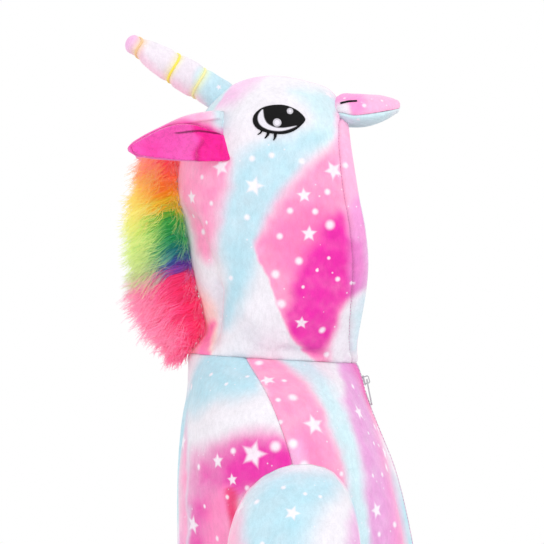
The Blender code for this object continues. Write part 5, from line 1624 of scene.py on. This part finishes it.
# The coil is one chain below the slider, and its two sides stand apart above it
tape = bpy.data.objects["zip_tape"]
coil = grown("zip_coil", [laid_on(tape, 0.4, np.linspace(-22, ZIP_END_Z + 8, 150))]
             + [laid_on(tape, x, np.linspace(4, -12, 9)) for x in (2.3, -2.3)],
             COIL, Pitch=0.0015, Reach=0.0017, Thickness=0.00062)
coil.data.shade_smooth()
dress(coil, None)


# ---- topstitching
# The turned cuffs and ankle hems and the folded edges beside the zip are each held by one
# line of the same thread as the face hem, a few millimetres in from the fold.
ANKLE_STITCH, ZIP_STITCH = 20.0, 5.0


def ankle_line(side):
    """Round one leg above its hem, a little out from the cloth."""
    trees = [facet_tree(panels[name, side]) for name in ("front", "back")]
    centre, line = np.array((side * 75.0, 0.0, HEM_Z + ANKLE_STITCH)), []
    for turn in np.linspace(0, 2 * np.pi, 97):
        way = Vector((np.cos(turn), np.sin(turn), 0))
        start = Vector(centre) + 150 * way
        found = hits(trees, [start], -way)
        if found:
            line.append(np.array(min(found, key=lambda hit: (hit - start).length) + 0.3 * way))
    return np.array(line)


topstitch("hem_stitches", cuff_lines + [ankle_line(side) for _, side in SIDES] + [
    laid_on(panels["front", side], side * (ZIP_HALF + SEAM_GAP + ZIP_STITCH),
            np.arange(0, ZIP_END_Z + 6, -4.0)) for _, side in SIDES])


# ---- floor, light and camera
# A plain pale floor below the hems, soft light from all round, and a level side view.
FLOOR_Z, FLOOR_REACH, FLOOR_SIDES = -0.898, 3.2, 96
SENSOR, CAMERA_AWAY, VIEW_WIDTH = 36, 4.0, 0.544       # millimetres, then metres
scene = bpy.context.scene
floor_mesh = bpy.data.meshes.new("floor")
floor_mesh.from_pydata([(FLOOR_REACH * np.cos(turn), FLOOR_REACH * np.sin(turn), FLOOR_Z)
                        for turn in around(FLOOR_SIDES)], [], [tuple(range(FLOOR_SIDES))])
paint, tree, shader = finish_material("floor_paint", 0.8)
wire(shader, Base_Color=(0.86, 0.86, 0.87, 1))
floor_mesh.materials.append(paint)
placed("floor", floor_mesh)

# Square soft lights, each aimed at a height on the object's axis
for name, place, aim_z, size, power in (("key_light", (-2.4, -1.6, 1.9), 0.1, 1.6, 26),
                                        ("fill_light", (-2.2, 2.2, 0.8), 0.0, 2.0, 9),
                                        ("far_light", (2.4, 0.2, 1.8), 0.1, 1.8, 16)):
    light = bpy.data.lights.new(name, "AREA")
    light.shape, light.size, light.energy = "SQUARE", size, power
    lamp = placed(name, light)
    lamp.location, lamp.rotation_mode = place, "QUATERNION"
    aim = np.array((0, 0, aim_z)) - place
    lamp.rotation_quaternion = Vector(aim).to_track_quat("-Z", "Y")

scene.world = bpy.data.worlds.new("studio")
scene.world.use_nodes = True
wire(scene.world.node_tree.nodes["Background"], Color=(1, 1, 1, 1), Strength=1.0)
scene.view_settings.view_transform = "Standard"

side_view = bpy.data.cameras.new("side_view")
side_view.sensor_width, side_view.clip_end = SENSOR, 60
side_view.lens = SENSOR * CAMERA_AWAY / VIEW_WIDTH
camera = placed("side_view", side_view)
camera.location = -CAMERA_AWAY, 0.023, 0.098
camera.rotation_euler = np.pi / 2, 0, -np.pi / 2
scene.camera = camera
